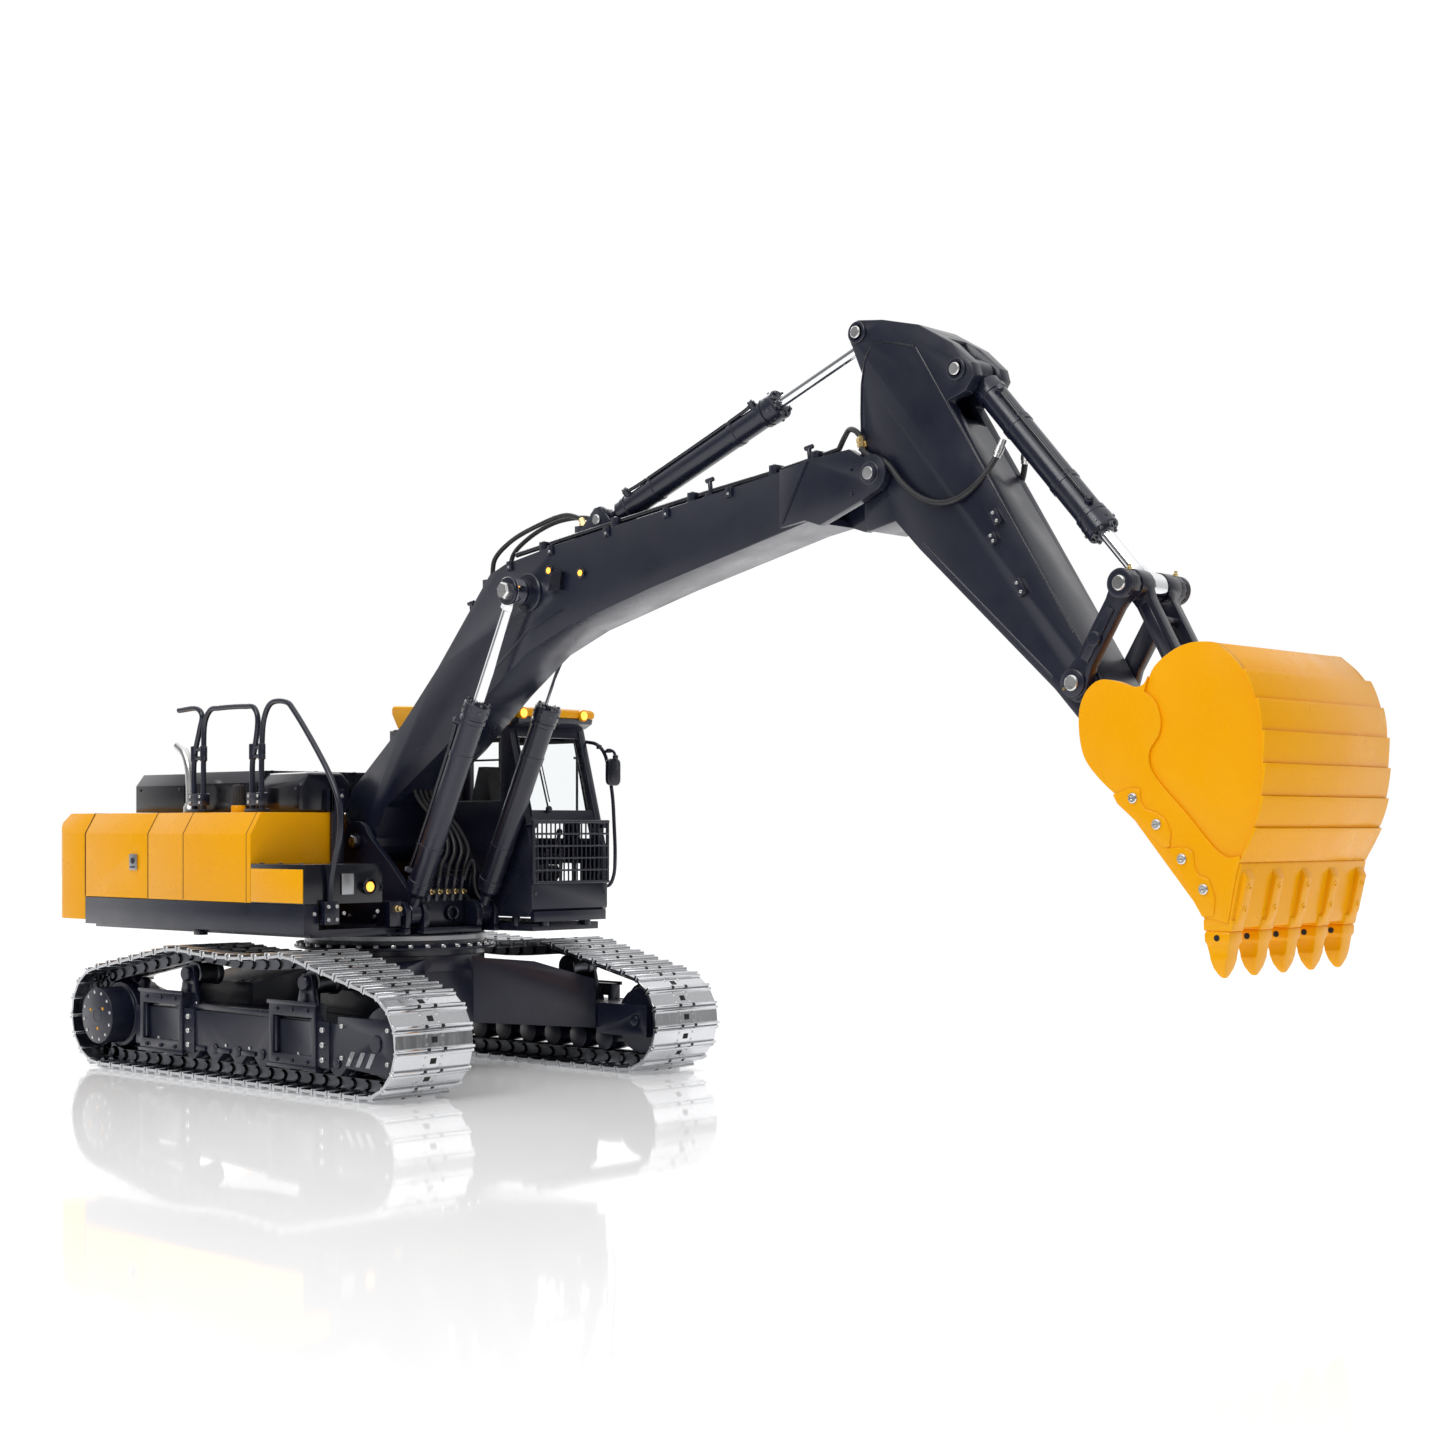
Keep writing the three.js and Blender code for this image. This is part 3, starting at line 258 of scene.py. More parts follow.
EVEN = (1, 1, 1)  # a grain that runs in no direction
NAVY = rgb(25, 28, 43)
M = {
    "paint_black": paint("navy_paint", NAVY, rgb(30, 33, 50), 0.3, 0.3),
    "paint_yellow": paint("yellow_paint", rgb(248, 172, 0), rgb(243, 166, 0), 0.28, 0.07, 0.2),
    "gloss_black": paint("gloss_black_paint", rgb(19, 21, 31), rgb(24, 26, 37), 0.17, 0.35),
    "bright_steel": metal("plated_shoes", (0.72, 0.73, 0.75, 1), 0.1, 0.24, (1, 8, 1), 260, 0.1),
    "dark_steel": metal(
        "dark_links", (0.14, 0.145, 0.16, 1), 0.28, 0.45, EVEN, 200, 0.2, (0.04, 0.04, 0.045, 1)
    ),
    "chrome": metal("rod_chrome", (0.9, 0.91, 0.93, 1), 0.04, 0.12, (6, 6, 6), 300, 0.03),
    "screw": metal("screw_steel", (0.72, 0.72, 0.72, 1), 0.2, 0.38, EVEN, 500, 0.1),
    "cast_metal": metal(
        "satin_grey", (0.42, 0.43, 0.45, 1), 0.3, 0.5, EVEN, 240, 0.25, (0.16, 0.16, 0.17, 1)
    ),
    "brass": metal("fitting_brass", (0.78, 0.58, 0.27, 1), 0.2, 0.38, EVEN, 320, 0.12, (0.45, 0.3, 0.12, 1)),
    "rubber": soft("hose_rubber", (0.012, 0.012, 0.014, 1), 0.42, 700, 0.25),
    "vinyl": soft("seat_vinyl", (0.016, 0.016, 0.018, 1), 0.55, 900, 0.35),
    "glass": pane("cab_glass"),
    "lamp": glow("lamp_lens", (1.0, 0.4, 0.05, 1), 2.6),
    "gap": painted_gap_shade("painted_gap_shade"),
}


# ---------------------------------------------------------------- mesh helpers
def around(sides):
    """The cosine and the sine of each of sides even turns."""
    turns = (2 * math.pi * k / sides for k in range(sides))
    return [(math.cos(a), math.sin(a)) for a in turns]


class Shape:
    """Closed solids gathered into one mesh, in millimetres from the swing axis."""

    def __init__(self):
        self.bm = bmesh.new()

    def prism(self, outline, place, low, high):
        """outline's points go through place(u, v, w), w from low to high."""
        rings = [[self.bm.verts.new(place(u, v, w)) for u, v in outline] for w in (low, high)]
        count = len(outline)
        self.bm.faces.new(rings[0])
        self.bm.faces.new(list(reversed(rings[1])))
        for i in range(count):
            j = (i + 1) % count
            self.bm.faces.new((rings[0][j], rings[0][i], rings[1][i], rings[1][j]))
        return self

    def side(self, outline, y0, y1):
        return self.prism(outline, lambda x, z, y: at(x, y, z), y0, y1)

    def flank(self, outline, s, low, high):
        """A plate low to high off the middle, on the left for s = 1 or the right for s = -1."""
        return self.side(outline, *sorted((s * low, s * high)))

    def plan(self, outline, z0, z1):
        return self.prism(outline, lambda x, y, z: at(x, y, z), z0, z1)

    def front(self, outline, x0, x1):
        return self.prism(outline, lambda y, z, x: at(x, y, z), x0, x1)

    def box(self, x0, x1, y0, y1, z0, z1):
        return self.plan([(x0, y0), (x1, y0), (x1, y1), (x0, y1)], z0, z1)

    def rings(self, stations, closed=False):
        """Loops of points skinned one to the next, with both ends capped unless they meet."""
        loops = [[self.bm.verts.new(p) for p in ring] for ring in stations]
        count = len(loops[0])
        pairs = list(zip(loops, loops[1:])) + ([(loops[-1], loops[0])] if closed else [])
        for a, b in pairs:
            for i in range(count):
                j = (i + 1) % count
                self.bm.faces.new((a[i], a[j], b[j], b[i]))
        if not closed:
            self.bm.faces.new(list(reversed(loops[0])))
            self.bm.faces.new(loops[-1])
        return self

    def turned(self, p, direction, profile, sides=24):
        """A lathe: profile is (distance along direction from p, radius), from end to end."""
        d = Vector(direction).normalized()
        u = d.orthogonal().normalized()
        v = d.cross(u)
        base = at(*p)
        return self.rings(
            [
                [base + (d * t + (u * x + v * y) * max(r, 0.02)) * MM for x, y in around(sides)]
                for t, r in profile
            ]
        )

    def rod(self, p, q, radius, sides=20, ease=0.0):
        d = Vector(q) - Vector(p)
        n = d.length
        profile = [(0, radius - ease), (ease, radius), (n - ease, radius), (n, radius - ease)]
        return self.turned(p, d, profile if ease else [(0, radius), (n, radius)], sides)

    def tube(self, points, radius, sides=10, smooth=6):
        """A round tube along an eased curve through points."""
        line = eased(points, smooth)
        return self.rings(
            [
                [at(*p) + (u * x + v * y) * radius * MM for x, y in around(sides)]
                for p, (u, v) in zip(line, transported(line))
            ]
        )

    def made(self, name, body, look, bevel=0.0, segments=2, smooth=35, slot=None):
        """Ends the mesh: eased edges, outward faces, smooth shading up to an angle; then it rides on body."""
        bm = self.bm
        bmesh.ops.recalc_face_normals(bm, faces=bm.faces)
        if bevel:
            ease_edges(bm, bevel, segments)
        return placed(bm, name, body, look, smooth)


def ease_edges(bm, width, segments, least=28):
    edges = [
        e for e in bm.edges if len(e.link_faces) == 2 and e.calc_face_angle(0) > math.radians(least)
    ]
    bmesh.ops.bevel(
        bm, geom=edges, offset=width * MM, segments=segments, profile=0.5, affect="EDGES", clamp_overlap=True
    )


def placed(bm, name, body, look, smooth=35):
    mesh = bpy.data.meshes.new(name)
    bm.to_mesh(mesh)
    bm.free()
    mesh.shade_smooth()
    mesh.set_sharp_from_angle(angle=math.radians(smooth))
    piece = bpy.data.objects.new(name, mesh)
    bpy.context.scene.collection.objects.link(piece)
    piece.data.materials.append(M[look])
    if body:
        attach(piece, body)
    return piece


def mixed(p, q, start, end, t):
    """p at start, q at end, and in proportion at t."""
    return p * ((end - t) / (end - start)) + q * ((t - start) / (end - start))


def eased(points, steps):
    """Points of a centripetal Catmull-Rom curve through points."""
    p = [Vector(q) for q in points]
    p = [p[0] * 2 - p[1], *p, p[-1] * 2 - p[-2]]
    line = []
    for a, b, c, d in zip(p, p[1:], p[2:], p[3:]):
        ta = 0.0
        tb = ta + max((b - a).length, 1e-4) ** 0.5
        tc = tb + max((c - b).length, 1e-4) ** 0.5
        td = tc + max((d - c).length, 1e-4) ** 0.5
        for k in range(steps):
            t = tb + (tc - tb) * k / steps
            ab, bc, cd = mixed(a, b, ta, tb, t), mixed(b, c, tb, tc, t), mixed(c, d, tc, td, t)
            line.append(mixed(mixed(ab, bc, ta, tc, t), mixed(bc, cd, tb, td, t), tb, tc, t))
    return [*line, p[-2]]


def smooth_line(points, steps):
    """A curve through points of the side view."""
    return [(p.x, p.z) for p in eased([(x, 0, z) for x, z in points], steps)]


def part_way(p, q, k):
    """The side-view point that is the part k of the way from p to q."""
    return (p[0] + (q[0] - p[0]) * k, p[1] + (q[1] - p[1]) * k)


def transported(line):
    """Two directions across the line at each of its points, turning as little as they can."""
    frames = []
    u = None
    for i in range(len(line)):
        d = (line[min(i + 1, len(line) - 1)] - line[max(i - 1, 0)]).normalized()
        u = d.orthogonal().normalized() if u is None else (u - d * u.dot(d)).normalized()
        frames.append((u, d.cross(u)))
    return frames


def arc(c, radius, start, end, count):
    return [
        (c[0] + radius * math.cos(math.radians(a)), c[1] + radius * math.sin(math.radians(a)))
        for a in (start + (end - start) * i / count for i in range(count + 1))
    ]


def toward(a, b, t, off=0.0):
    """The side-view point t on the way from a to b, off to its left."""
    length = math.hypot(b[0] - a[0], b[1] - a[1])
    u = ((b[0] - a[0]) / length, (b[1] - a[1]) / length)
    return (a[0] + u[0] * t - u[1] * off, a[1] + u[1] * t + u[0] * off)


def rounded(node, look, width, segments=2, least=28, smooth=35):
    """A copy of a CAD node with its edges eased, standing for the node."""
    bm = bmesh.new()
    bm.from_mesh(frame["nodes"][node].data)
    bmesh.ops.remove_doubles(bm, verts=bm.verts, dist=1e-6)
    bmesh.ops.dissolve_limit(bm, angle_limit=math.radians(1.0), verts=bm.verts, edges=bm.edges)
    ease_edges(bm, width, segments, least)
    body = frame["nodes"][node]["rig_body"]
    piece = placed(bm, node + "_shell", body, look, smooth)
    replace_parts(piece, node)
    return piece


def repaint(node, look):
    node = frame["nodes"][node]
    node.data.materials.clear()
    node.data.materials.append(M[look])


def disc(radius, height, top, rim):
    """The profile of a disc that narrows to the radius rim between height and top."""
    return [(0, radius), (height, radius), (top, rim)]


def bolt(shape, p, direction, radius=1.6, height=1.2):
    """A hexagonal head standing at p."""
    shape.turned(p, direction, [(-0.4, radius), (0.75 * height, radius), (height, 0.8 * radius)], 6)


def screw(shape, p, direction, radius=1.6, height=1.2):
    """A socket-head screw: a round head with a hollow in its top."""
    profile = [
        (-0.4, radius), (0.8 * height, radius), (height, 0.85 * radius), (height, 0.5 * radius),
        (0.45 * height, 0.45 * radius), (0.45 * height, 0),
    ]
    shape.turned(p, direction, profile, 12)


def hose(name, points, radius, body, until=None, look="rubber"):
    """A hose through points on body. With until = (other body, start, end) set, the hose rides on no body and
    stays where it is made; body and the values in until are not used.
    """
    line = [at(*p) for p in eased(points, 8)]
    piece = Shape().tube(points, radius, 12, 8).made(name, None, look, smooth=60)
    if until:
        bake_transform(piece)
    else:
        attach(piece, body)
    return piece


# ---------------------------------------------------------------- CAD nodes that keep their shape
SLOTS = {s["node"]: s["material_slot"] for s in frame["record"]["subparts"]}
for node in frame["nodes"]:
    repaint(node, SLOTS[node])


# ---------------------------------------------------------------- tracks
class Loop:
    """The way of the grouser tips round a track, as in part.mjs."""

    def __init__(self):
        sag = [
            (86, 90.6), (78, 93), (70, 94.4), (62, 94.5), (30, 92), (0, 91), (-30, 92), (-62, 94.5),
            (-70, 94.4), (-78, 93.4), (-88, 91.5),
        ]
        over = smooth_line(sag, 6)
        idler = arc(IDLER[:2], IDLER[2], -90, 77.5, 60)
        sprocket = arc(SPROCKET[:2], SPROCKET[2], 100.5, 270, 60)
        self.line = [*idler, *over, *sprocket]
        self.ends = list(zip(self.line, self.line[1:] + self.line[:1]))
        self.lengths = [math.dist(a, b) for a, b in self.ends]
        self.shoes = round(sum(self.lengths) / SHOE_PITCH)

    def point(self, phase):
        left = (phase / self.shoes * sum(self.lengths)) % sum(self.lengths)
        for (a, b), length in zip(self.ends, self.lengths):
            if left <= length:
                return Vector((a[0] + (b[0] - a[0]) * left / length, a[1] + (b[1] - a[1]) * left / length))
            left -= length
        return Vector(self.ends[0][0])

    def seat(self, start, end):
        """A place (u, n, y) for something that spans two phases: u along the track, n out of it."""
        a, b = self.point(start), self.point(end)
        middle = (a + b) / 2
        t = (b - a).normalized()
        n = Vector((t.y, -t.x))
        return lambda u, v, y: at(middle.x + t.x * u + n.x * v, y, middle.y + t.y * u + n.y * v)


LOOP = Loop()
CARRIER_Z = 73  # the carrier rollers' height
CARRIERS = (("front", 70), ("rear", -70))
SHOE_HALF = 7.1
SHOE_PROFILE = [
    (-SHOE_HALF, -4.6), (-SHOE_HALF, -0.5), (-SHOE_HALF + 0.4, 0), (-SHOE_HALF + 1.7, 0),
    (-SHOE_HALF + 2.0, -0.4), (-SHOE_HALF + 2.2, -2.2), (SHOE_HALF - 2.9, -2.2), (SHOE_HALF - 2.6, -0.9),
    (SHOE_HALF - 2.3, -0.6), (SHOE_HALF - 0.9, -0.6), (SHOE_HALF - 0.5, -1.0), (SHOE_HALF - 0.1, -3.0),
    (SHOE_HALF - 0.1, -5.2), (SHOE_HALF - 1.3, -5.2), (SHOE_HALF - 1.6, -4.2), (-SHOE_HALF + 1.4, -4.2),
    (-SHOE_HALF + 1.0, -4.9),
]


def track(side, s):
    shoes, chain, dark, heads = Shape(), Shape(), Shape(), Shape()
    low, high = TRACK_OUT - SHOE_WIDTH, TRACK_OUT
    half = SHOE_PITCH / 2
    link = [*arc((half, -8.3), 3.8, -90, 90, 6), *arc((-half, -8.3), 3.8, 90, 270, 6)]
    for i in range(LOOP.shoes):
        seat = LOOP.seat(i + 0.62, i + 1.58)
        shoes.prism(SHOE_PROFILE, lambda u, v, y, seat=seat: seat(u, v, s * y), low + 0.3, high - 0.3)

        def block(shape, u0, u1, v0, v1, y0, y1, seat=seat):
            outline = [(u0, v0), (u1, v0), (u1, v1), (u0, v1)]
            shape.prism(outline, lambda u, v, y: seat(u, v, s * y), y0, y1)

        # Dark blocks in the shoe's centre hole and in its edge notches: painted shade of the holes.
        block(dark, -1.9, 2.1, -2.6, -2.12, 115, 120)
        for y in (110.7, 124.3):
            block(dark, -SHOE_HALF - 0.02, -SHOE_HALF + 1.9, -1.4, 0.02, y - 1.4, y + 1.4)
            for u in (-2.9, 2.6):
                ring = arc((u, y), 1.0, 0, 300, 5)
                heads.prism(ring, lambda u, y, v, seat=seat: seat(u, v, s * y), -2.5, -1.7)
        joint = LOOP.seat(i + 0.6, i + 1.6)
        for y0, y1 in ((107, 112.5), (122.5, 128)):
            chain.prism(link, lambda u, v, y, seat=joint: seat(u, v, s * y), y0, y1)
        pin_ring = arc((-half, -8.3), 2.5, 0, 315, 7)
        chain.prism(pin_ring, lambda u, v, y, seat=joint: seat(u, v, s * y), 105.4, 129.6)
        bush = arc((-half, -8.3), 3.3, 0, 330, 11)
        chain.prism(bush, lambda u, v, y, seat=joint: seat(u, v, s * y), 112.6, 122.4)
    piece = shoes.made(f"track_shoes_{side}", "undercarriage", "bright_steel", 0.22, 1)
    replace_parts(piece, f"track_{side}")
    chain.made(f"track_chain_{side}", "undercarriage", "dark_steel")
    dark.made(f"track_holes_{side}", "undercarriage", "gap")
    heads.made(f"track_bolts_{side}", "undercarriage", "screw")


def track_frame(side, s):
    rounded(f"track_frame_{side}", "paint_black", 0.7)
    rounded(f"sprocket_{side}", "paint_black", 0.6)
    rounded(f"idler_{side}", "paint_black", 0.5)
    out = (0, s, 0)
    silver, black, marks = Shape(), Shape(), Shape()
    span = lambda y0, y1: sorted((s * y0, s * y1))
    for x in (-58, 99):
        for z in (23.5, 33.5, 43.5):
            screw(silver, (x, s * 140, z), out, 2.0, 1.8)
    for x0, x1 in ((-118, -64), (41, 93)):
        for x in (x0 + 9, (x0 + x1) / 2, x1 - 9):
            for z in (21, 55.5):
                screw(black, (x, s * 142, z), out, 1.5, 1.2)
        for y0, y1, z0, z1 in ((141, 143, 58.6, 61.2), (141, 143, 15.8, 18.2)):
            black.box(x0 - 1.5, x1 + 1.5, *span(y0, y1), z0, z1)
        for x in (x0 + 4, x1 - 7):
            black.flank([(x, 26), (x + 3, 26), (x + 3, 50), (x, 50)], s, 138, 140.8)
    for i in range(9):
        x = -113 + 28.1 * i
        black.turned((x, s * 137.5, 22), out, disc(3.6, 1.6, 2.2, 2.8), 18)
        if abs(x + 58) > 8 and abs(x - 99) > 8:
            bolt(silver, (x + 14, s * 138, 25.5), out, 1.3, 1.1)
    for k in range(3):
        x = 121 + 10.5 * k
        marks.flank([(x, 21), (x + 4.5, 21), (x + 10.5, 31), (x + 6, 31)], s, 137.8, 138.7)
    for x, z in ((117, 47), (165, 47), (117, 26), (165, 25)):
        screw(silver, (x, s * 138, z), out, 1.7, 1.4)
    black.turned(on(IDLER, s * 137), out, [(0, 5.6), (1.8, 5.6), (2.2, 5), (2.2, 4.5)], 28)
    for _, x in CARRIERS:
        for dx in (-10.5, 10.5):
            screw(silver, (x + dx, s * 132.5, 52), out, 1.7, 1.4)
        black.flank([(x - 15, 46.5), (x + 15, 46.5), (x + 13, 57.5), (x - 13, 57.5)], s, 131.5, 133.4)
        black.flank([(x - 2, 57), (x + 2, 57), (x + 1.4, 66), (x - 1.4, 66)], s, 132, 134)
    black.flank([(-60, 49), (40, 49), (40, 52.2), (-60, 52.2)], s, 128, 137.4)
    for x in (-48, -18, 12):
        black.flank([(x - 8, 20), (x + 8, 20), (x + 8, 23), (x - 8, 23)], s, 137.5, 139.2)
    silver.made(f"frame_screws_{side}", "undercarriage", "screw")
    black.made(f"frame_trim_{side}", "undercarriage", "paint_black", 0.35)
    marks.made(f"idler_bars_{side}", "undercarriage", "cast_metal", 0.2)

    cover, dots, hub = Shape(), Shape(), Shape()
    for p in arc(SPROCKET, 17.6, 10, 340, 11):
        bolt(cover, on(p, s * 149.3), out, 1.25, 0.65)
    for p in arc(SPROCKET, 9.5, 35, 275, 2):
        dots.turned(on(p, s * 149.3), out, [(0, 1.1), (0.5, 1.1)], 12)
    hub.turned(on(SPROCKET, s * 148.6), out, [(0, 6), (1.2, 6), (1.3, 4.6), (0.8, 4.4)], 30)
    body = f"sprocket_{side}"
    cover.made(f"sprocket_screws_{side}", body, "screw")
    dots.made(f"sprocket_marks_{side}", body, "paint_yellow")
    hub.made(f"sprocket_hub_{side}", body, "paint_black", 0.2)
    for end, x in CARRIERS:
        cap = Shape().turned(
            (x, s * 133.8, CARRIER_Z), out, [(0, 2.9), (0.1, 5.2), (2, 5.2), (2.6, 4.4), (2.6, 0)], 24
        )
        body = f"carrier_roller_{end}_{side}"
        cap.made(f"carrier_cap_{end}_{side}", body, "paint_black")
        flanges = [(0, 8.2), (0.8, 8.8), (4.4, 8.8), (5, 7.6), (16, 7.6), (16.6, 8.8), (20.2, 8.8), (21, 8.2)]
        roller = Shape().turned((x, s * 107.5, CARRIER_Z), out, [*flanges, (21, 3), (26.3, 3)], 32)
        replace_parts(roller.made(f"carrier_wheel_{end}_{side}", body, "dark_steel"), body)


for side_name, s in (("left", 1), ("right", -1)):
    track(side_name, s)
    track_frame(side_name, s)


def middle():
    rounded("center_frame", "paint_black", 1.0)
    drum = Shape().turned(
        (0, 0, 0), (0, 0, 1),
        [
            (86.3, 63), (86.3, 66), (90.3, 66.4), (90.3, 73.2), (91, 74), (92, 74), (92.4, 73.4), (92.4, 68),
            (94, 66), (101, 66), (102, 65.2), (102, 63),
        ], 96,
    )
    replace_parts(drum.made("slew_drum", "undercarriage", "paint_black", smooth=30), "slew_ring")
    heads = Shape()
    for x, y in arc((0, 0), 70.6, 0, 350, 35):
        bolt(heads, (x, y, 92.4), (0, 0, 1), 2.1, 2.2)
    heads.made("slew_bolts", "undercarriage", "screw")
    seal = Shape().turned((0, 0, 0), (0, 0, 1), [(97.2, 60), (97.2, 67), (100.4, 67), (100.4, 60)], 72)
    seal.made("slew_seal", "undercarriage", "cast_metal")


middle()


# ---------------------------------------------------------------- upper body
YELLOW_SIDE = -BODY_SIDE
EXHAUST = (-119, -98)  # x and y of the tailpipe
FILLER = (-57, -99)  # x and y of the filler cap
RAIL_Y = -109
LAMP_Y = (47.5, 108)  # the two lamps on the cab's visor
CAB_FRONT = 102
RAKE = 26  # how far the cab's front leans back from BROW_Z up to its roof
BROW_Z = 160
CAB_TOP = 253


def seam(shape, x, width=0.7):
    """A dark line up the right side and over the chamfer: painted shade of the gap between two panels."""
    line = [(YELLOW_SIDE, 126.2), (YELLOW_SIDE, 173.6), (YELLOW_SIDE + 9, BODY_TOP), (-88, BODY_TOP)]
    raised = [(YELLOW_SIDE - 0.12, 126.2), (YELLOW_SIDE - 0.12, 173.7), (YELLOW_SIDE + 8.95, BODY_TOP + 0.12)]
    shape.front([*line, (-88, BODY_TOP + 0.12), *reversed(raised)], x - width / 2, x + width / 2)


def upper_body():
    for node, width in (("counterweight", 2.2), ("body_right", 1.3), ("body_left", 1.3), ("side_door", 0.8)):
        rounded(node, "paint_yellow", width, 3)
    rounded("engine_hood", "gloss_black", 2.4, 4)
    rounded("tank_cover", "gloss_black", 2.4, 4)
    rounded("deck_frame", "paint_black", 1.0)
    rounded("step_box", "gloss_black", 1.1, 3)

    # Panel seams drawn as thin dark strips, and two across the rear top: painted shade of the gaps between
    # panels.
    lines = Shape()
    for x, width in ((-215.1, 0.8), (-128.8, 0.8), (-82.9, 0.7), (-4.9, 0.5)):
        seam(lines, x, width)
    for y in (-44, 44):
        lines.box(-238, -237.4, y - 0.3, y + 0.3, BODY_TOP - 0.1, BODY_TOP + 0.1)
    lines.made("panel_seams", "house", "gap")

    latch = Shape().box(-151.5, -141.5, -130.4, -129.2, 146.5, 158.5)
    latch.made("latch_plate", "side_door", "cast_metal", 0.5, 3)
    keyhole = Shape().turned((-146.5, -130.3, 153.5), (0, -1, 0), disc(2.4, 0.5, 0.8, 1.9), 20)
    keyhole.box(-149.6, -143.4, -130.9, -130.2, 148.2, 149.4)
    keyhole.made("latch_lock", "side_door", "vinyl", 0.15)

    # Yellow panel on the step box's side, under its black top.
    panel = Shape().side([(1.6, 126.3), (61.4, 126.3), (61.4, 149.6), (1.6, 149.6)], -129.5, -128.4)
    panel.made("step_side_panel", "house", "paint_yellow", 0.4, 3)

    trim, silver, dots = Shape(), Shape(), Shape()
    trim.box(-76.6, -68.6, -124, -117, 100.5, 104.5)
    for y, z in ((-95, 119), (-66, 119.6), (-120, 119)):
        screw(silver, (62, y, z), (1, 0, 0), 1.5, 1.0)
    for x in (8, 30, 54):
        screw(dots, (x, -124.5, 153), (0, 0, 1), 1.4, 0.8)
    for x, z in ((-206, 213), (-152, 213), (-142, 214), (-60, 214), (-48, 212), (-8, 212)):
        screw(dots, (x, -86.0 if x < -54 else -84.0, z - 6), (0, -1, 0), 1.2, 0.7)
    for y in (-60, -20, 16):
        screw(dots, (-70, y, 220), (0, 0, 1), 1.3, 0.8)
        screw(dots, (-196, y, 219), (0, 0, 1), 1.3, 0.8)
    trim.made("body_trim", "house", "paint_black", 0.3)
    silver.made("body_screws", "house", "screw")
    dots.made("dark_screws", "house", "dark_steel")

    # Lamps and a blank plate on the step box's front.
    lamp, rims = Shape(), Shape()
    lamp.turned((64.2, -75, 137), (1, 0, 0), [(0, 4.1), (1.6, 3.9), (2.4, 2.4), (2.6, 0)], 28)
    lamp.made("step_lamp", "house", "lamp")
    rims.turned((62, -75, 137), (1, 0, 0), [(0, 5.6), (3.6, 5.6), (4, 5.1), (4, 4.2), (2, 4.2)], 32)
    rims.turned((62, -65.6, 136.6), (1, 0, 0), [(-0.4, 3.6), (2, 3.6), (2.4, 3.1), (2.4, 2.2), (1.2, 2)], 24)
    rims.made("lamp_rims", "house", "gloss_black")
    plate = Shape().box(62.6, 63.4, -97.4, -87, 131.8, 146.4)
    plate.made("blank_plate", "house", "cast_metal", 0.3)

    # Tailpipe and filler cap.
    stack = [(-119, 193), (-119.5, 212), (-121.5, 224), (-127, 234), (-136, 239.6)]
    pipe = Shape().tube([(x, EXHAUST[1], z) for x, z in stack], 3.6, 28, 8)
    pipe.turned((*EXHAUST, 189.3), (0, 0, 1), [(0, 5.5), (4.5, 5.5), (5.5, 4.6), (7, 4.4), (7, 3)], 28)
    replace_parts(pipe.made("tailpipe", "house", "screw", smooth=50), "exhaust")
    # A dark disc in the tailpipe's open end: painted shade of its inside.
    mouth = Shape().turned((-135.8, EXHAUST[1], 239.5), (-9, 0, 5.6), [(0, 3.0), (0.35, 3.0)], 20)
    mouth.made("tailpipe_mouth", "house", "gap")
    base = Shape().turned((*FILLER, 189.3), (0, 0, 1), [(0, 5.2), (4, 5.2), (5, 4.6), (5, 2)], 32)
    base.made("filler_neck", "house", "paint_yellow")
    # A knurled edge: every other point of the ring stands further out.
    tips, roots = arc(FILLER, 4.4, 0, 350, 35), arc(FILLER, 4.05, 0, 350, 35)
    ring = [p if k % 2 else q for k, (p, q) in enumerate(zip(tips, roots))]
    cap = Shape().plan(ring, 194, 208.6)
    cap.turned((*FILLER, 208.4), (0, 0, 1), [(0, 4.1), (0.8, 3.6), (1, 0)], 28)
    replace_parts(cap.made("filler_top", "house", "vinyl", smooth=20), "filler_cap")


upper_body()


def handrails():
    y = RAIL_Y
    routes = {
        "rear": [(-98, 189.5), (-98, 228), (-91, 250), (-88, 260), (-93, 265), (-118, 265)],
        "middle": [
            (-86, 189.5), (-86, 232), (-84, 256), (-77, 264), (-66, 265), (-34, 265), (-24, 264), (-19, 257),
            (-22, 236), (-25, 226), (-25, 189.5),
        ],
        "front": [
            (-14, 189.5), (-14, 232), (-11, 256), (-3, 266), (16, 266), (24, 260), (68, 210), (76, 192),
            (76, 172), (70, 155), (66, 140), (66, 119),
        ],
    }
    feet, silver, collars = Shape(), Shape(), Shape()
    for name, route in routes.items():
        rail = Shape().tube([(x, y, z) for x, z in route], 2, 20, 10)
        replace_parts(rail.made(f"rail_{name}", "house", "paint_black", smooth=60), f"handrail_{name}")
    for x0, x1 in ((-98, -86), (-25, -14)):
        feet.box(x0 - 5, x1 + 5, y - 4, y + 4, 189.3, 191.6)
        feet.box(x0 - 3, x1 + 3, y - 3.4, y + 3.4, 194, 203)
        for z in (196.4, 200.8):
            for x in (x0, x1):
                screw(silver, (x, y - 3.4, z), (0, -1, 0), 1.2, 0.8)
        for z in (229, 235.5):
            collars.rod((x0 - 2.8, y, z), (x1 + 2.8, y, z), 1.5, 16, 0.4)
        for x in (x0, x1):
            collars.rod((x, y, 226.6), (x, y, 238), 2.7, 20, 0.5)
    feet.box(62.3, 68, -115, -103, 111.5, 127.5)
    for z in (115, 124):
        for yy in (-112.6, -105.4):
            screw(silver, (68, yy, z), (1, 0, 0), 1.4, 1.0)
    feet.made("rail_feet", "house", "paint_black", 0.5)
    silver.made("rail_screws", "house", "screw")
    collars.made("rail_collars", "house", "paint_black")


handrails()


